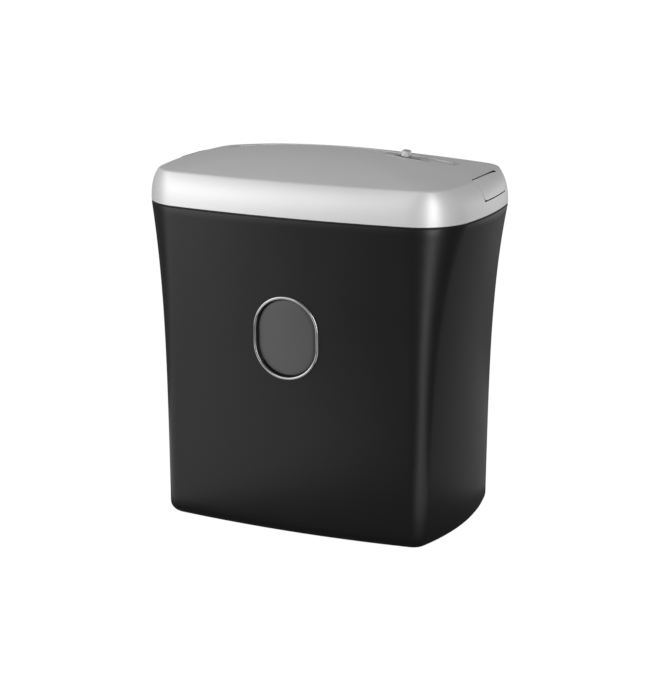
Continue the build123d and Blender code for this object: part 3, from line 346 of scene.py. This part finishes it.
def material(slot, colour, metallic=0.0, roughness=0.4, grain=600.0, grain_bump=0.02, vary=0.06,
             rough_vary=0.05, coat=0.0, coat_roughness=0.1, stretch=(1, 1, 1), painted_shade=None):
    """Procedural finish: fine grain in the surface, and slow variation in tone and gloss.

    Last argument: painted shade colour, used where the mesh's attribute of that name is above 0.
    """
    mat = bpy.data.materials.new(slot + "_finish")
    mat.use_nodes = True
    tree = mat.node_tree
    nodes, links = tree.nodes, tree.links
    shader = nodes["Principled BSDF"]
    shader.inputs["Metallic"].default_value = metallic
    shader.inputs["IOR"].default_value = IOR
    shader.inputs["Coat Weight"].default_value = coat
    shader.inputs["Coat Roughness"].default_value = coat_roughness
    place = nodes.new("ShaderNodeTexCoord")
    scale = nodes.new("ShaderNodeMapping")
    scale.inputs["Scale"].default_value = stretch
    links.new(place.outputs["Object"], scale.inputs["Vector"])
    fine = nodes.new("ShaderNodeTexNoise")
    fine.inputs["Scale"].default_value = grain
    fine.inputs["Detail"].default_value = 3.0
    links.new(scale.outputs["Vector"], fine.inputs["Vector"])
    slow = nodes.new("ShaderNodeTexNoise")
    slow.inputs["Scale"].default_value = BLOTCH
    slow.inputs["Detail"].default_value = 2.0
    links.new(place.outputs["Object"], slow.inputs["Vector"])
    tone = nodes.new("ShaderNodeValToRGB")
    dark, pale = tone.color_ramp.elements
    dark.position, pale.position = TONE_SPAN
    dark.color = [c * (1 - vary) for c in colour] + [1]
    pale.color = [min(c * (1 + vary), 1) for c in colour] + [1]
    mixed = nodes.new("ShaderNodeMath")
    mixed.operation = "MULTIPLY_ADD"
    mixed.inputs[1].default_value = 0.5
    links.new(fine.outputs["Fac"], mixed.inputs[0])
    half = nodes.new("ShaderNodeMath")
    half.operation = "MULTIPLY"
    half.inputs[1].default_value = 0.5
    links.new(slow.outputs["Fac"], half.inputs[0])
    links.new(half.outputs[0], mixed.inputs[2])
    links.new(mixed.outputs[0], tone.inputs["Fac"])
    colour_out = tone.outputs["Color"]
    # Painted shade: dark colour, no metal, where the mesh marks a gap or a groove.
    if painted_shade:
        mask = nodes.new("ShaderNodeAttribute")
        mask.attribute_name = "painted_shade"
        choice = nodes.new("ShaderNodeMix")
        choice.data_type = "RGBA"  # whose inputs are 6 and 7, and its output 2
        choice.inputs[7].default_value = list(painted_shade) + [1]
        links.new(mask.outputs["Fac"], choice.inputs[0])
        links.new(colour_out, choice.inputs[6])
        colour_out = choice.outputs[2]
        metal = nodes.new("ShaderNodeMath")
        metal.operation = "MULTIPLY_ADD"
        metal.inputs[1].default_value = -metallic
        metal.inputs[2].default_value = metallic
        links.new(mask.outputs["Fac"], metal.inputs[0])
        links.new(metal.outputs[0], shader.inputs["Metallic"])
    links.new(colour_out, shader.inputs["Base Color"])
    gloss = nodes.new("ShaderNodeMapRange")
    gloss.inputs["From Min"].default_value = TONE_SPAN[0]
    gloss.inputs["From Max"].default_value = TONE_SPAN[1]
    gloss.inputs["To Min"].default_value = roughness - rough_vary
    gloss.inputs["To Max"].default_value = roughness + rough_vary
    links.new(mixed.outputs[0], gloss.inputs["Value"])
    links.new(gloss.outputs["Result"], shader.inputs["Roughness"])
    bump = nodes.new("ShaderNodeBump")
    bump.inputs["Strength"].default_value = grain_bump
    bump.inputs["Distance"].default_value = GRAIN_DEPTH
    links.new(fine.outputs["Fac"], bump.inputs["Height"])
    links.new(bump.outputs["Normal"], shader.inputs["Normal"])
    return mat


SATIN_METAL = {"metallic": 1.0, "roughness": 0.32, "grain": 900.0, "grain_bump": 0.03,
               "stretch": (1, 0.06, 1)}
LOOKS = {
    "bin_black": dict(colour=(0.0045, 0.0045, 0.005), roughness=0.36, grain=1500, grain_bump=0.05,
                      rough_vary=0.03),
    # Its last colour is painted shade inside the handle gaps and the slot's mouth.
    "head_silver": dict(colour=(0.80, 0.80, 0.805), metallic=0.35, roughness=0.42, grain=2600,
                        grain_bump=0.03, vary=0.03, rough_vary=0.02, painted_shade=(0.008, 0.008, 0.008)),
    "base_black": dict(colour=(0.012, 0.012, 0.013), roughness=0.5, grain=1200, grain_bump=0.15),
    # Its last colour is painted shade on the ring's inner wall, in the groove by the lens.
    "ring_chrome": dict(colour=(0.50, 0.50, 0.505), metallic=1.0, roughness=0.1, grain=60,
                        grain_bump=0.004, vary=0.02, rough_vary=0.02, painted_shade=(0.003, 0.003, 0.003)),
    "lens_smoke": dict(colour=(0.085, 0.085, 0.087), roughness=0.38, grain=40, grain_bump=0.004,
                       vary=0.03, rough_vary=0.03, coat=0.25, coat_roughness=0.25),
    "feet_rubber": dict(colour=(0.02, 0.02, 0.02), roughness=0.8, grain=900, grain_bump=0.3),
    "trim_silver": dict(colour=(0.60, 0.60, 0.61), metallic=0.3, roughness=0.32, grain=2400,
                        grain_bump=0.02, vary=0.03, rough_vary=0.03),
    "cutter_steel": dict(colour=(0.34, 0.34, 0.35), **SATIN_METAL),
    "plate_steel": dict(colour=(0.62, 0.62, 0.60), **SATIN_METAL),
    "gear_nylon": dict(colour=(0.78, 0.76, 0.70), roughness=0.45, grain=500, grain_bump=0.05),
    "gear_steel": dict(colour=(0.36, 0.35, 0.34), metallic=1.0, roughness=0.42, grain=1800,
                       grain_bump=0.1),
    "bush_bronze": dict(colour=(0.52, 0.34, 0.16), metallic=1.0, roughness=0.4, grain=1800,
                        grain_bump=0.1),
    "comb_plastic": dict(colour=(0.03, 0.03, 0.032), roughness=0.5, grain=700, grain_bump=0.1),
    "motor_steel": dict(colour=(0.56, 0.55, 0.52), **SATIN_METAL),
    "magnet_dark": dict(colour=(0.05, 0.05, 0.05), roughness=0.7, grain=900, grain_bump=0.2),
    "winding_copper": dict(colour=(0.55, 0.25, 0.11), metallic=0.8, roughness=0.4, grain=1500,
                           grain_bump=0.3, stretch=(1, 8, 8)),
    "board_green": dict(colour=(0.015, 0.11, 0.04), roughness=0.35, grain=300, grain_bump=0.1,
                        vary=0.2, coat=0.4),
    "part_blue": dict(colour=(0.03, 0.08, 0.26), roughness=0.3, grain=700, grain_bump=0.05),
    "part_dark": dict(colour=(0.02, 0.02, 0.022), roughness=0.35, grain=900, grain_bump=0.08),
    "terminal_green": dict(colour=(0.03, 0.20, 0.06), roughness=0.4, grain=700, grain_bump=0.05),
    "screw_steel": dict(colour=(0.50, 0.50, 0.50), metallic=1.0, roughness=0.3, grain=1500,
                        grain_bump=0.05),
    "gland_rubber": dict(colour=(0.018, 0.018, 0.018), roughness=0.7, grain=900, grain_bump=0.2),
}
finishes = {slot: material(slot, **look) for slot, look in LOOKS.items()}
for part in frame["record"]["subparts"]:
    mesh = frame["nodes"][part["node"]].data
    mesh.materials.clear()
    mesh.materials.append(finishes[part["material_slot"]])


def dress(obj, slot, body, *nodes):
    """Finish, body and replaced CAD nodes of a new piece."""
    obj.data.materials.clear()
    obj.data.materials.append(finishes[slot])
    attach(obj, body)
    if nodes:
        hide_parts(*nodes)
    return obj


# ---- Waste bin ----
def bin_shell():
    """Flared bin with a rounded foot, a rounded rim, an inner wall and the window hole."""
    rings = []
    for angle in np.linspace(0, math.pi / 2, 7):
        z = FOOT + BIN_EDGE * (1 - math.cos(angle))
        rings.append(bin_ring(z, BIN_EDGE * (1 - math.sin(angle)), FOOT + BIN_EDGE))
    lip_start = BIN_TOP - RIM_ROUND
    inner_start = FOOT + BIN_FLOOR + INNER_EDGE
    for z in np.linspace(FOOT + BIN_EDGE, lip_start, BIN_RINGS)[1:]:
        rings.append(bin_ring(z))
    for angle in np.linspace(0, math.pi, 9)[1:]:
        z = lip_start + RIM_ROUND * math.sin(angle)
        rings.append(bin_ring(z, WALL / 2 * (1 - math.cos(angle))))
    for z in np.linspace(lip_start, inner_start, INNER_RINGS)[1:]:
        rings.append(bin_ring(z, WALL))
    for angle in np.linspace(0, math.pi / 2, 6)[1:]:
        z = FOOT + BIN_FLOOR + INNER_EDGE * (1 - math.sin(angle))
        rings.append(bin_ring(z, WALL + INNER_EDGE * (1 - math.cos(angle)), inner_start))
    bm = bmesh.new()
    ring_grid(bm, rings, cap_first=True, cap_last=True)
    shell = new_object("bin_shell", bm)
    hole = rounded_rectangle(RING_WIDTH - 2 * WINDOW_MARGIN, RING_HEIGHT - 2 * WINDOW_MARGIN,
                             RING_CORNER - WINDOW_MARGIN, 12, (0, WINDOW_Z))
    boolean(shell, prism("window_cutter", hole, Y, *WINDOW_CUT))
    corners = [(RIB_LEFT, RIB_INNER), (RIB_RIGHT, RIB_INNER),
               (RIB_RIGHT, RIB_OUTER), (RIB_LEFT, RIB_OUTER)]
    rib = prism("rib", corners, Z, RIB_LOW, RIB_HIGH)
    bevel(rib, RIB_BEVEL, 2)
    boolean(shell, rib, "UNION")
    return dress(smooth(shell), "bin_black", "bin", "waste_bin")


def front_y(x, z):
    """Y of the bin's outer front wall at a point, in millimetres."""
    half_width, half_depth, side_bow, end_bow, _ = bin_spec(z)
    reach = half_width - end_bow
    radius = (reach**2 + side_bow**2) / (2 * side_bow)
    return -half_depth + radius - math.sqrt(radius**2 - x**2)


def window_path(grow, steps=16):
    """Obround loop round the window's centre, grown outwards from the ring's outside."""
    points = rounded_rectangle(RING_WIDTH + 2 * grow, RING_HEIGHT + 2 * grow,
                               RING_CORNER + grow, steps)
    return [(x, WINDOW_Z + z) for x, z in points]


def window_loop(grow, proud):
    """The loop laid on the bin's front wall, standing proud of it, in metres."""
    return np.array([(x, front_y(x, z) - proud, z) for x, z in window_path(grow)]) * MM


def quarter_turn(count):
    """Angles of a quarter turn in even steps, without its start."""
    return [math.radians(angle) for angle in np.linspace(0, 90, count)[1:]]


def window_ring():
    """Chrome ring: rounded face, inner lip with painted shade inside it, and a sleeve through the
    wall.

    A profile point is a distance outwards from the ring's outside, and one proud of the bin's wall.
    """
    face_radius, face_start = 1.2, 0.6
    lip_radius, lip_edge, lip_start = 0.7, -1.9, 1.0
    profile = [(-0.25, -0.3), (0.0, 0.0), (0.0, face_start)]
    for angle in quarter_turn(7):
        profile.append((-face_radius * (1 - math.cos(angle)),
                        face_start + face_radius * math.sin(angle)))
    profile.append((-1.7, 1.78))
    for angle in quarter_turn(5):
        profile.append((lip_edge - lip_radius * math.sin(angle),
                        lip_start + lip_radius * math.cos(angle)))
    plated = len(profile)
    profile += [(-2.75, 0.8), (-4.15, -1.5), (-4.2, -1.7)]
    profile += [(-4.2, -4.6), (-2.7, -4.6), (-2.7, -0.3)]
    bm = bmesh.new()
    painted_shade = bm.faces.layers.float.new("painted_shade")
    loops = ring_grid(bm, [window_loop(grow, proud) for grow, proud in profile])
    close_rings(bm, loops[-1], loops[0])
    # Faces from the lip inwards are marked for painted shade: the groove's wall is painted dark.
    for number, face in enumerate(bm.faces):
        face[painted_shade] = float(number >= (plated - 1) * len(loops[0]))
    return dress(smooth(new_object("window_ring", bm), 35), "ring_chrome", "bin", "window_bezel")


def window_glass():
    """Smoked lens, crowned a little, with a thin bevelled edge."""
    edge = -RING_BAND - FIT
    depth, face_depth, crown, chamfer = 3.4, 1.75, 0.75, 0.35
    loop = window_loop(edge, -depth)
    middle = np.array([0, front_y(0, WINDOW_Z) + depth, WINDOW_Z]) * MM
    back = [middle + (loop - middle) * share for share in np.linspace(0, 1, 9)[1:]]
    loop = window_loop(edge, 0)
    middle = np.array([0, front_y(0, WINDOW_Z), WINDOW_Z]) * MM
    front = []
    for share in np.linspace(1, 0, 13)[:-1]:
        ring = middle + (loop - middle) * share
        ring[:, 1] += (face_depth - crown * (1 - share**2)) * MM
        front.append(ring)
    front[0] = front[0] + np.array([0, chamfer, 0]) * MM
    bm = bmesh.new()
    ring_grid(bm, back + front, cap_first=True, cap_last=True)
    return dress(smooth(new_object("window_glass", bm), 40), "lens_smoke", "bin", "window_lens")


# ---- Head cover ----
def edge_rings(grow=0.0):
    """Loops that round the band onto the dome, grown outwards by an offset."""
    return corner_rings(head_ring(EDGE_START, -grow), dome_ring(1.0, -grow),
                        dome_ring(EDGE_END, -grow))


def cover_solid():
    """Closed shell of the head: band, rounded top edge and dome, open below."""
    lower_edge, chamfer, chamfer_end = BIN_TOP + SEAM, 0.5, 0.15
    outer = [head_ring(lower_edge, chamfer), head_ring(lower_edge + chamfer_end, chamfer_end)]
    shares = np.concatenate([np.linspace(0.05, 0.4, 6), np.linspace(0.46, 0.95, 14)])
    outer += [head_ring(BIN_TOP + BAND_HEIGHT * share) for share in shares]
    outer += edge_rings()
    # Shares of the way from crest to edge, closer together near the edge.
    levels = np.concatenate([[0.975, 0.955, 0.93, 0.9], np.linspace(0.86, 0.06, 16)])
    outer += [dome_ring(rho) for rho in levels]
    inner = [dome_ring(rho, WALL) for rho in levels[::-1]]
    inner += [head_ring(BIN_TOP + BAND_HEIGHT * share, WALL) for share in shares[:-2][::-1]]
    inner.append(head_ring(lower_edge, WALL))
    bm = bmesh.new()
    outer_loops = ring_grid(bm, outer, cap_last=True)
    inner_loops = ring_grid(bm, inner, cap_first=True)
    close_rings(bm, inner_loops[-1], outer_loops[0])
    return new_object("cover", bm)


def cover_shell():
    """Silver cover with its paper slot, switch opening, handle openings and gland hole."""
    cover = cover_solid()
    low_y, high_y = HANDLE_FRONT - SIDE_GAP, HANDLE_REAR + SIDE_GAP
    low_z, edge_x = HANDLE_BOTTOM - LINE_GAP, HANDLE_TOP_X - LINE_GAP
    shift = 0.01  # keeps the relief's ends off the opening's sides
    opening = rounded_rectangle(high_y - low_y, OPENING_HEIGHT, OPENING_CORNER, 4,
                                ((low_y + high_y) / 2, low_z + OPENING_HEIGHT / 2))
    for low_x, high_x in ((edge_x, OPENING_REACH), (-OPENING_REACH, -edge_x)):
        boolean(cover, prism("handle_cutter", opening, X, low_x, high_x))
        relief = circle(HINGE_RELIEF, (math.copysign(PIVOT_X, low_x), PIVOT_Z))
        boolean(cover, prism("relief_cutter", relief, Y, low_y + shift, high_y - shift))
    mouth = rounded_rectangle(2 * MOUTH_X, 2 * MOUTH_Y, MOUTH_CORNER, 6, (0, SLOT_Y))
    boolean(cover, prism("mouth_cutter", mouth, Z, CUT_LOW, CUT_HIGH))
    switch = rounded_rectangle(*SWITCH_HOLE, 4, (SWITCH_X, SWITCH_Y))
    boolean(cover, prism("switch_cutter", switch, Z, CUT_LOW, CUT_HIGH))
    gland = circle(GLAND_RADIUS + FIT, (GLAND_X, GLAND_Z))
    boolean(cover, prism("gland_cutter", gland, Y, *GLAND_CUT))
    cover.name = "cover_shell"
    # Paints shade into the handle gaps and the slot's mouth.
    paint_gap_shade(cover)
    return dress(smooth(cover, 28), "head_silver", "head", "head_cover")


def paint_gap_shade(cover):
    """Painted shade: dark faces inside the handle openings, and part-dark ones in the slot's mouth.

    A face counts as inside where its middle is under the outer surface by a little.
    """
    handle_x, handle_depth, handle_margin = 137, 0.35, 1
    mouth_depth, mouth_share, margin_x, margin_y = 0.1, 0.55, 1, 0.5
    values = []
    for polygon in cover.data.polygons:
        x, y, z = polygon.center / MM
        loop = head_ring(min(z, BAND_TOP)) / MM
        reach = np.interp(math.atan2(y, x), *sorted_turn(loop), period=2 * math.pi)
        under = reach - math.hypot(x, y)
        if z > BAND_TOP - 1:
            under = min(under, dome_height(x, y) - z)
        at_handle = abs(x) > handle_x and (
            HANDLE_FRONT - handle_margin < y < HANDLE_REAR + handle_margin)
        at_mouth = abs(x) < MOUTH_X + margin_x and abs(y - SLOT_Y) < MOUTH_Y + margin_y
        if at_handle and under > handle_depth:
            values.append(1.0)
        else:
            values.append(mouth_share if at_mouth and under > mouth_depth else 0.0)
    layer = cover.data.attributes.new("painted_shade", "FLOAT", "FACE")
    layer.data.foreach_set("value", values)


def sorted_turn(loop):
    """Angles round the middle and distances from it, in order of angle."""
    angles = np.arctan2(loop[:, 1], loop[:, 0])
    order = np.argsort(angles)
    return angles[order], np.hypot(loop[:, 0], loop[:, 1])[order]


def right_point(ring, y):
    """X and Z of a ring's right side at a Y, in metres."""
    half = ring[ring[:, 0] > 0]
    half = half[np.argsort(half[:, 1])]
    return np.interp(y, half[:, 1], half[:, 0]), np.interp(y, half[:, 1], half[:, 2])


def panel_columns(grow):
    """Points of the handle's face: columns along Y that climb the band and round onto the dome."""
    rings = [head_ring(z, -grow) for z in np.linspace(HANDLE_BOTTOM, EDGE_START, PANEL_RINGS)]
    rings += edge_rings(grow)[1:]
    rings += [dome_ring(rho, -grow) for rho in np.linspace(0.986, 0.96, 12)]
    ends = HANDLE_CORNER * (1 - np.cos(np.linspace(0, math.pi / 2, 7)))
    between = np.linspace(HANDLE_FRONT + HANDLE_CORNER, HANDLE_REAR - HANDLE_CORNER,
                          PANEL_COLUMNS)[1:-1]
    columns = np.concatenate([HANDLE_FRONT + ends, between, HANDLE_REAR - ends[::-1]]) * MM
    top_x = HANDLE_TOP_X * MM
    grid = []
    for y in columns:
        side = min(y / MM - HANDLE_FRONT, HANDLE_REAR - y / MM)
        into_corner = HANDLE_CORNER - min(side, HANDLE_CORNER)
        rise = HANDLE_CORNER - math.sqrt(max(HANDLE_CORNER**2 - into_corner**2, 0))
        curve = np.array([right_point(ring, y) for ring in rings])
        inside = curve[:, 0] >= top_x
        last = len(inside) - np.argmax(inside[::-1])
        if last < len(curve):
            below, above = curve[last - 1], curve[last]
            share = (below[0] - top_x) / (below[0] - above[0])
            curve = np.vstack([curve[:last], below + (above - below) * share])
        reach = np.concatenate([[0], np.cumsum(np.hypot(*np.diff(curve, axis=0).T))])
        start = np.interp(HANDLE_BOTTOM * MM + rise * MM, curve[:, 1], reach)
        steps = start + (reach[-1] - start) * np.linspace(0, 1, PANEL_STEPS)
        xs, zs = np.interp(steps, reach, curve[:, 0]), np.interp(steps, reach, curve[:, 1])
        grid.append([(x, y, z) for x, z in zip(xs, zs)])
    return np.array(grid)


def handle_panel(side):
    """Flush lifting handle, right (1) or left (-1): a panel of the head's surface, with ears."""
    grid = panel_columns(HANDLE_PROUD)
    bm = bmesh.new()
    verts = [[bm.verts.new(point) for point in column] for column in grid]
    for i in range(len(verts) - 1):
        for j in range(len(verts[0]) - 1):
            bm.faces.new((verts[i][j], verts[i + 1][j], verts[i + 1][j + 1], verts[i][j + 1]))
    bm.normal_update()
    if sum(face.normal.x for face in bm.faces) < 0:
        bmesh.ops.reverse_faces(bm, faces=bm.faces)
    if side > 0:
        name, body, node = "handle_panel_right", "handle_r", "handle_right"
    else:
        name, body, node = "handle_panel_left", "handle_l", "handle_left"
    panel = new_object(name, bm, closed=False)
    solidify(panel, HANDLE_THICKNESS)
    bevel(panel, HANDLE_BEVEL, 2, 55)
    lug = circle(EAR_RADIUS - FIT, (PIVOT_X, PIVOT_Z))
    for low, high in LUG_SPANS:
        boolean(panel, prism("room", lug, Y, low - EAR_GAP, high + EAR_GAP))
        for start in (low - EAR_GAP - EAR_THICKNESS, high + EAR_GAP):
            boolean(panel, hinge_ear(start), "UNION")
    if side < 0:
        panel.data.transform(Matrix.Scale(-1, 4, (1, 0, 0)))
        panel.data.flip_normals()
    return dress(smooth(panel, 35), "head_silver", body, node)


def solidify(obj, thickness):
    """Give a sheet a wall inwards."""
    modifier = obj.modifiers.new("wall", "SOLIDIFY")
    modifier.thickness, modifier.offset = thickness * MM, -1.0
    modifier.use_even_offset, modifier.use_rim = False, True
    bpy.context.view_layer.update()
    return apply_modifiers(obj)


def hinge_ear(start):
    """One bored ear that carries the panel on its pin, with a root that runs into the panel."""
    end = start + EAR_THICKNESS
    root = [(3.5, -2.2), (5.0, -1.6), (3.6, 0.3)]       # from the pivot
    points = [(PIVOT_X + EAR_RADIUS * math.cos(a), PIVOT_Z + EAR_RADIUS * math.sin(a))
              for a in np.linspace(math.radians(70), math.radians(290), 20)]
    points += [(PIVOT_X + x, PIVOT_Z + z) for x, z in root]
    ear = prism("ear", points, Y, start, end)
    bore = circle(PIN_BORE, (PIVOT_X, PIVOT_Z), 24)
    return boolean(ear, prism("bore", bore, Y, start - 1, end + 1))


bin_shell()
window_ring()
window_glass()
cover_shell()
handle_panel(1)
handle_panel(-1)


# ---- Slide switch ----
def dome_piece(name, points, proud, depth, bevel_width):
    """Plate laid on the dome, standing proud of it, over a polygon in plan."""
    bm = bmesh.new()
    top = [bm.verts.new(Vector((x, y, dome_height(x, y) + proud)) * MM) for x, y in points]
    low = [bm.verts.new(Vector((x, y, dome_height(x, y) - depth)) * MM) for x, y in points]
    for i in range(len(points)):
        j = (i + 1) % len(points)
        bm.faces.new((low[i], low[j], top[j], top[i]))
    bm.faces.new(top)
    bm.faces.new(low)
    return bevel(new_object(name, bm), bevel_width, 3, 50)


def switch_strip():
    """Raised strip round the slide switch, with the slot its stem moves in."""
    points = rounded_rectangle(*STRIP_SIZE, 6, (SWITCH_X, SWITCH_Y))
    strip = dome_piece("switch_strip", points, STRIP_PROUD, STRIP_DEPTH, STRIP_BEVEL)
    slot = rounded_rectangle(*STRIP_SLOT, 3, (SWITCH_X, SWITCH_Y))
    boolean(strip, prism("slot", slot, Z, BAND_TOP, CUT_HIGH))
    return dress(smooth(strip, 30), "trim_silver", "head", "switch_plate")


def knob_cap():
    """Sliding knob: a tapered cap with finger ribs and a stem down to the switch."""
    slope = math.atan(2 * DOME_RISE * KNOB_X / EDGE_OUTLINE[0] ** 2)
    base_z = BAND_TOP + DOME_RISE * (1 - (KNOB_X / EDGE_OUTLINE[0]) ** 2)
    shoulder = KNOB_HEIGHT - 1.0
    # A level is a height and how far the sides have come in there.
    levels = [(0.0, 0.0), (0.0, 0.25), (shoulder, 0.45)]
    levels += [(shoulder + math.sin(a), 0.5 + 1.0 * (1 - math.cos(a))) for a in quarter_turn(4)]
    rings = []
    for z, taper in levels:
        loop = rounded_rectangle(KNOB_LENGTH - 2 * taper, KNOB_WIDTH - 2 * taper,
                                 KNOB_CORNER - taper * 0.4, 5)
        rings.append(np.array([(x, y, z) for x, y in loop]) * MM)
    bm = bmesh.new()
    ring_grid(bm, rings, cap_first=True, cap_last=True)
    cap = new_object("knob_cap", bm)
    floor_z, above = KNOB_HEIGHT - GROOVE_DEPTH, KNOB_HEIGHT + 1
    for number in range(-2, 3):
        x = GROOVE_PITCH * number
        section = [(x - GROOVE_FLOOR, floor_z), (x + GROOVE_FLOOR, floor_z),
                   (x + GROOVE_MOUTH, above), (x - GROOVE_MOUTH, above)]
        boolean(cap, prism("groove", section, Y, -GROOVE_REACH, GROOVE_REACH))
    stem = rounded_rectangle(*STEM_SIZE, 4)
    boolean(cap, prism("stem", stem, Z, STEM_LOW, STEM_HIGH), "UNION")
    place = Matrix.Translation(Vector((KNOB_X, SWITCH_Y, base_z)) * MM)
    turn = place @ Matrix.Rotation(slope, 4, "Y")
    cap.data.transform(turn @ Matrix.Translation((0, 0, KNOB_LIFT * MM)))
    return dress(smooth(cap, 30), "trim_silver", "knob", "switch_knob")


switch_strip()
knob_cap()


# ---- Interlock spring ----
def interlock_spring():
    """Coil spring over the plunger, in one fixed length."""
    steps, sides = SPRING_TURNS * 20, 8
    length = SPRING_HIGH - SPRING_LOW
    rings = []
    for step in range(steps + 1):
        turn = 2 * math.pi * SPRING_TURNS * step / steps
        rise = SPRING_LOW + SPRING_WIRE + (length - 2 * SPRING_WIRE) * step / steps
        ring = []
        for side in range(sides):
            a = 2 * math.pi * side / sides
            reach = SPRING_RADIUS + SPRING_WIRE * math.cos(a)
            ring.append((PLUNGER_X + reach * math.cos(turn), PLUNGER_Y + reach * math.sin(turn),
                         rise + SPRING_WIRE * math.sin(a)))
        rings.append(np.array(ring) * MM)
    bm = bmesh.new()
    ring_grid(bm, rings, cap_first=True, cap_last=True)
    spring = smooth(new_object("coil_spring", bm), 40)
    dress(spring, "screw_steel", "head", "interlock_spring")
    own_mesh(spring)


interlock_spring()


# ---- Floor, light and camera ----
LOOK_HEIGHT = 0.2           # that the lights are placed round, in metres
CARD_HEIGHT = 0.004         # of the cards on the floor, in metres


def floor():
    """Pale studio floor: almost shadowless to the camera, dimmer in reflections."""
    bm = bmesh.new()
    bmesh.ops.create_grid(bm, x_segments=1, y_segments=1, size=12)  # metres, half the floor
    obj = new_object("studio_floor", bm)
    mat = bpy.data.materials.new("studio_floor_finish")
    mat.use_nodes = True
    nodes, links = mat.node_tree.nodes, mat.node_tree.links
    shader = nodes["Principled BSDF"]
    shader.inputs["Base Color"].default_value = (0.24, 0.24, 0.24, 1)
    shader.inputs["Roughness"].default_value = 0.9
    lit = nodes.new("ShaderNodeBsdfDiffuse")
    lit.inputs["Color"].default_value = (0.9, 0.9, 0.9, 1)
    glow = nodes.new("ShaderNodeEmission")
    glow.inputs["Strength"].default_value = 1.07
    soften = nodes.new("ShaderNodeMixShader")
    soften.inputs["Fac"].default_value = 0.93
    links.new(lit.outputs[0], soften.inputs[1])
    links.new(glow.outputs[0], soften.inputs[2])
    path = nodes.new("ShaderNodeLightPath")
    mix = nodes.new("ShaderNodeMixShader")
    links.new(path.outputs["Is Camera Ray"], mix.inputs["Fac"])
    links.new(shader.outputs[0], mix.inputs[1])
    links.new(soften.outputs[0], mix.inputs[2])
    links.new(mix.outputs[0], nodes["Material Output"].inputs["Surface"])
    obj.data.materials.append(mat)


def sight(azimuth, elevation):
    """Direction from the object towards a light or the camera, angles in radians."""
    level = math.cos(elevation)
    return Vector((math.sin(azimuth) * level, -math.cos(azimuth) * level, math.sin(elevation)))


def area_light(name, azimuth, elevation, distance, width, height, radiance):
    """Soft box, in metres, that faces the object.

    Azimuth 0 is straight in front and grows towards +X.
    """
    data = bpy.data.lights.new(name, "AREA")
    data.shape, data.size, data.size_y = "RECTANGLE", width, height
    data.energy = radiance * math.pi * width * height
    obj = bpy.data.objects.new(name, data)
    bpy.context.scene.collection.objects.link(obj)
    a, e = math.radians(azimuth), math.radians(elevation)
    place = sight(a, e) * distance
    obj.location = Vector((0, 0, LOOK_HEIGHT)) + place
    obj.rotation_euler = place.to_track_quat("Z", "Y").to_euler()
    obj.visible_camera = False
    return obj


def floor_card(name, azimuth, distance, width, height, radiance):
    """Soft box that lies on the floor and shines upwards."""
    card = area_light(name, azimuth, 0, distance, width, height, radiance)
    card.location.z = CARD_HEIGHT
    card.rotation_euler = (math.pi, 0, math.radians(azimuth))


def studio():
    """White room: a large soft box at the front left, and cards that show in the bin's sides.

    The corner's highlight is a strip's reflection. The cards on the floor carry the reflections
    on down to the foot.
    """
    world = bpy.data.worlds.new("studio")
    bpy.context.scene.world = world
    world.use_nodes = True
    nodes, links = world.node_tree.nodes, world.node_tree.links
    background = nodes["Background"]
    background.inputs["Color"].default_value = (0.33, 0.33, 0.33, 1)
    seen = nodes.new("ShaderNodeBackground")
    seen.inputs["Color"].default_value = (1.0, 1.0, 1.0, 1)
    path = nodes.new("ShaderNodeLightPath")
    mix = nodes.new("ShaderNodeMixShader")
    links.new(path.outputs["Is Camera Ray"], mix.inputs["Fac"])
    links.new(background.outputs[0], mix.inputs[1])
    links.new(seen.outputs[0], mix.inputs[2])
    links.new(mix.outputs[0], nodes["World Output"].inputs["Surface"])
    # Azimuth and elevation in degrees, then distance, width and height in metres, and radiance.
    area_light("key_box", -40, 20, 1.6, 1.7, 1.4, 1.22)
    area_light("left_card", -50, 4, 0.85, 0.6, 0.7, 1.0)
    area_light("corner_strip", 51, -4, 1.1, 0.3, 1.5, 5.0)
    area_light("right_card", 152, -2, 1.1, 0.7, 0.6, 0.85)
    # The same, without the elevation.
    floor_card("left_floor_card", -48, 0.42, 0.6, 0.5, 0.6)
    floor_card("corner_floor_card", 61, 0.6, 0.22, 0.75, 0.9)
    floor_card("right_floor_card", 138, 0.43, 0.45, 0.52, 0.2)


def camera():
    """Long lens a little above the rim, turned to show the right end."""
    distance, aim = 2.0118, Vector((0, 0, 0.1887))
    back = sight(math.radians(25.0), math.radians(13.8))
    data = bpy.data.cameras.new("camera")
    data.lens, data.sensor_width = 112.35, 36.0
    data.shift_x, data.shift_y = 0.0013, -0.0434
    data.clip_end = 50.0
    obj = bpy.data.objects.new("camera", data)
    bpy.context.scene.collection.objects.link(obj)
    obj.location = aim + back * distance
    obj.rotation_euler = back.to_track_quat("Z", "Y").to_euler()
    bpy.context.scene.camera = obj


floor()
studio()
camera()
bpy.context.scene.view_settings.view_transform = "Standard"
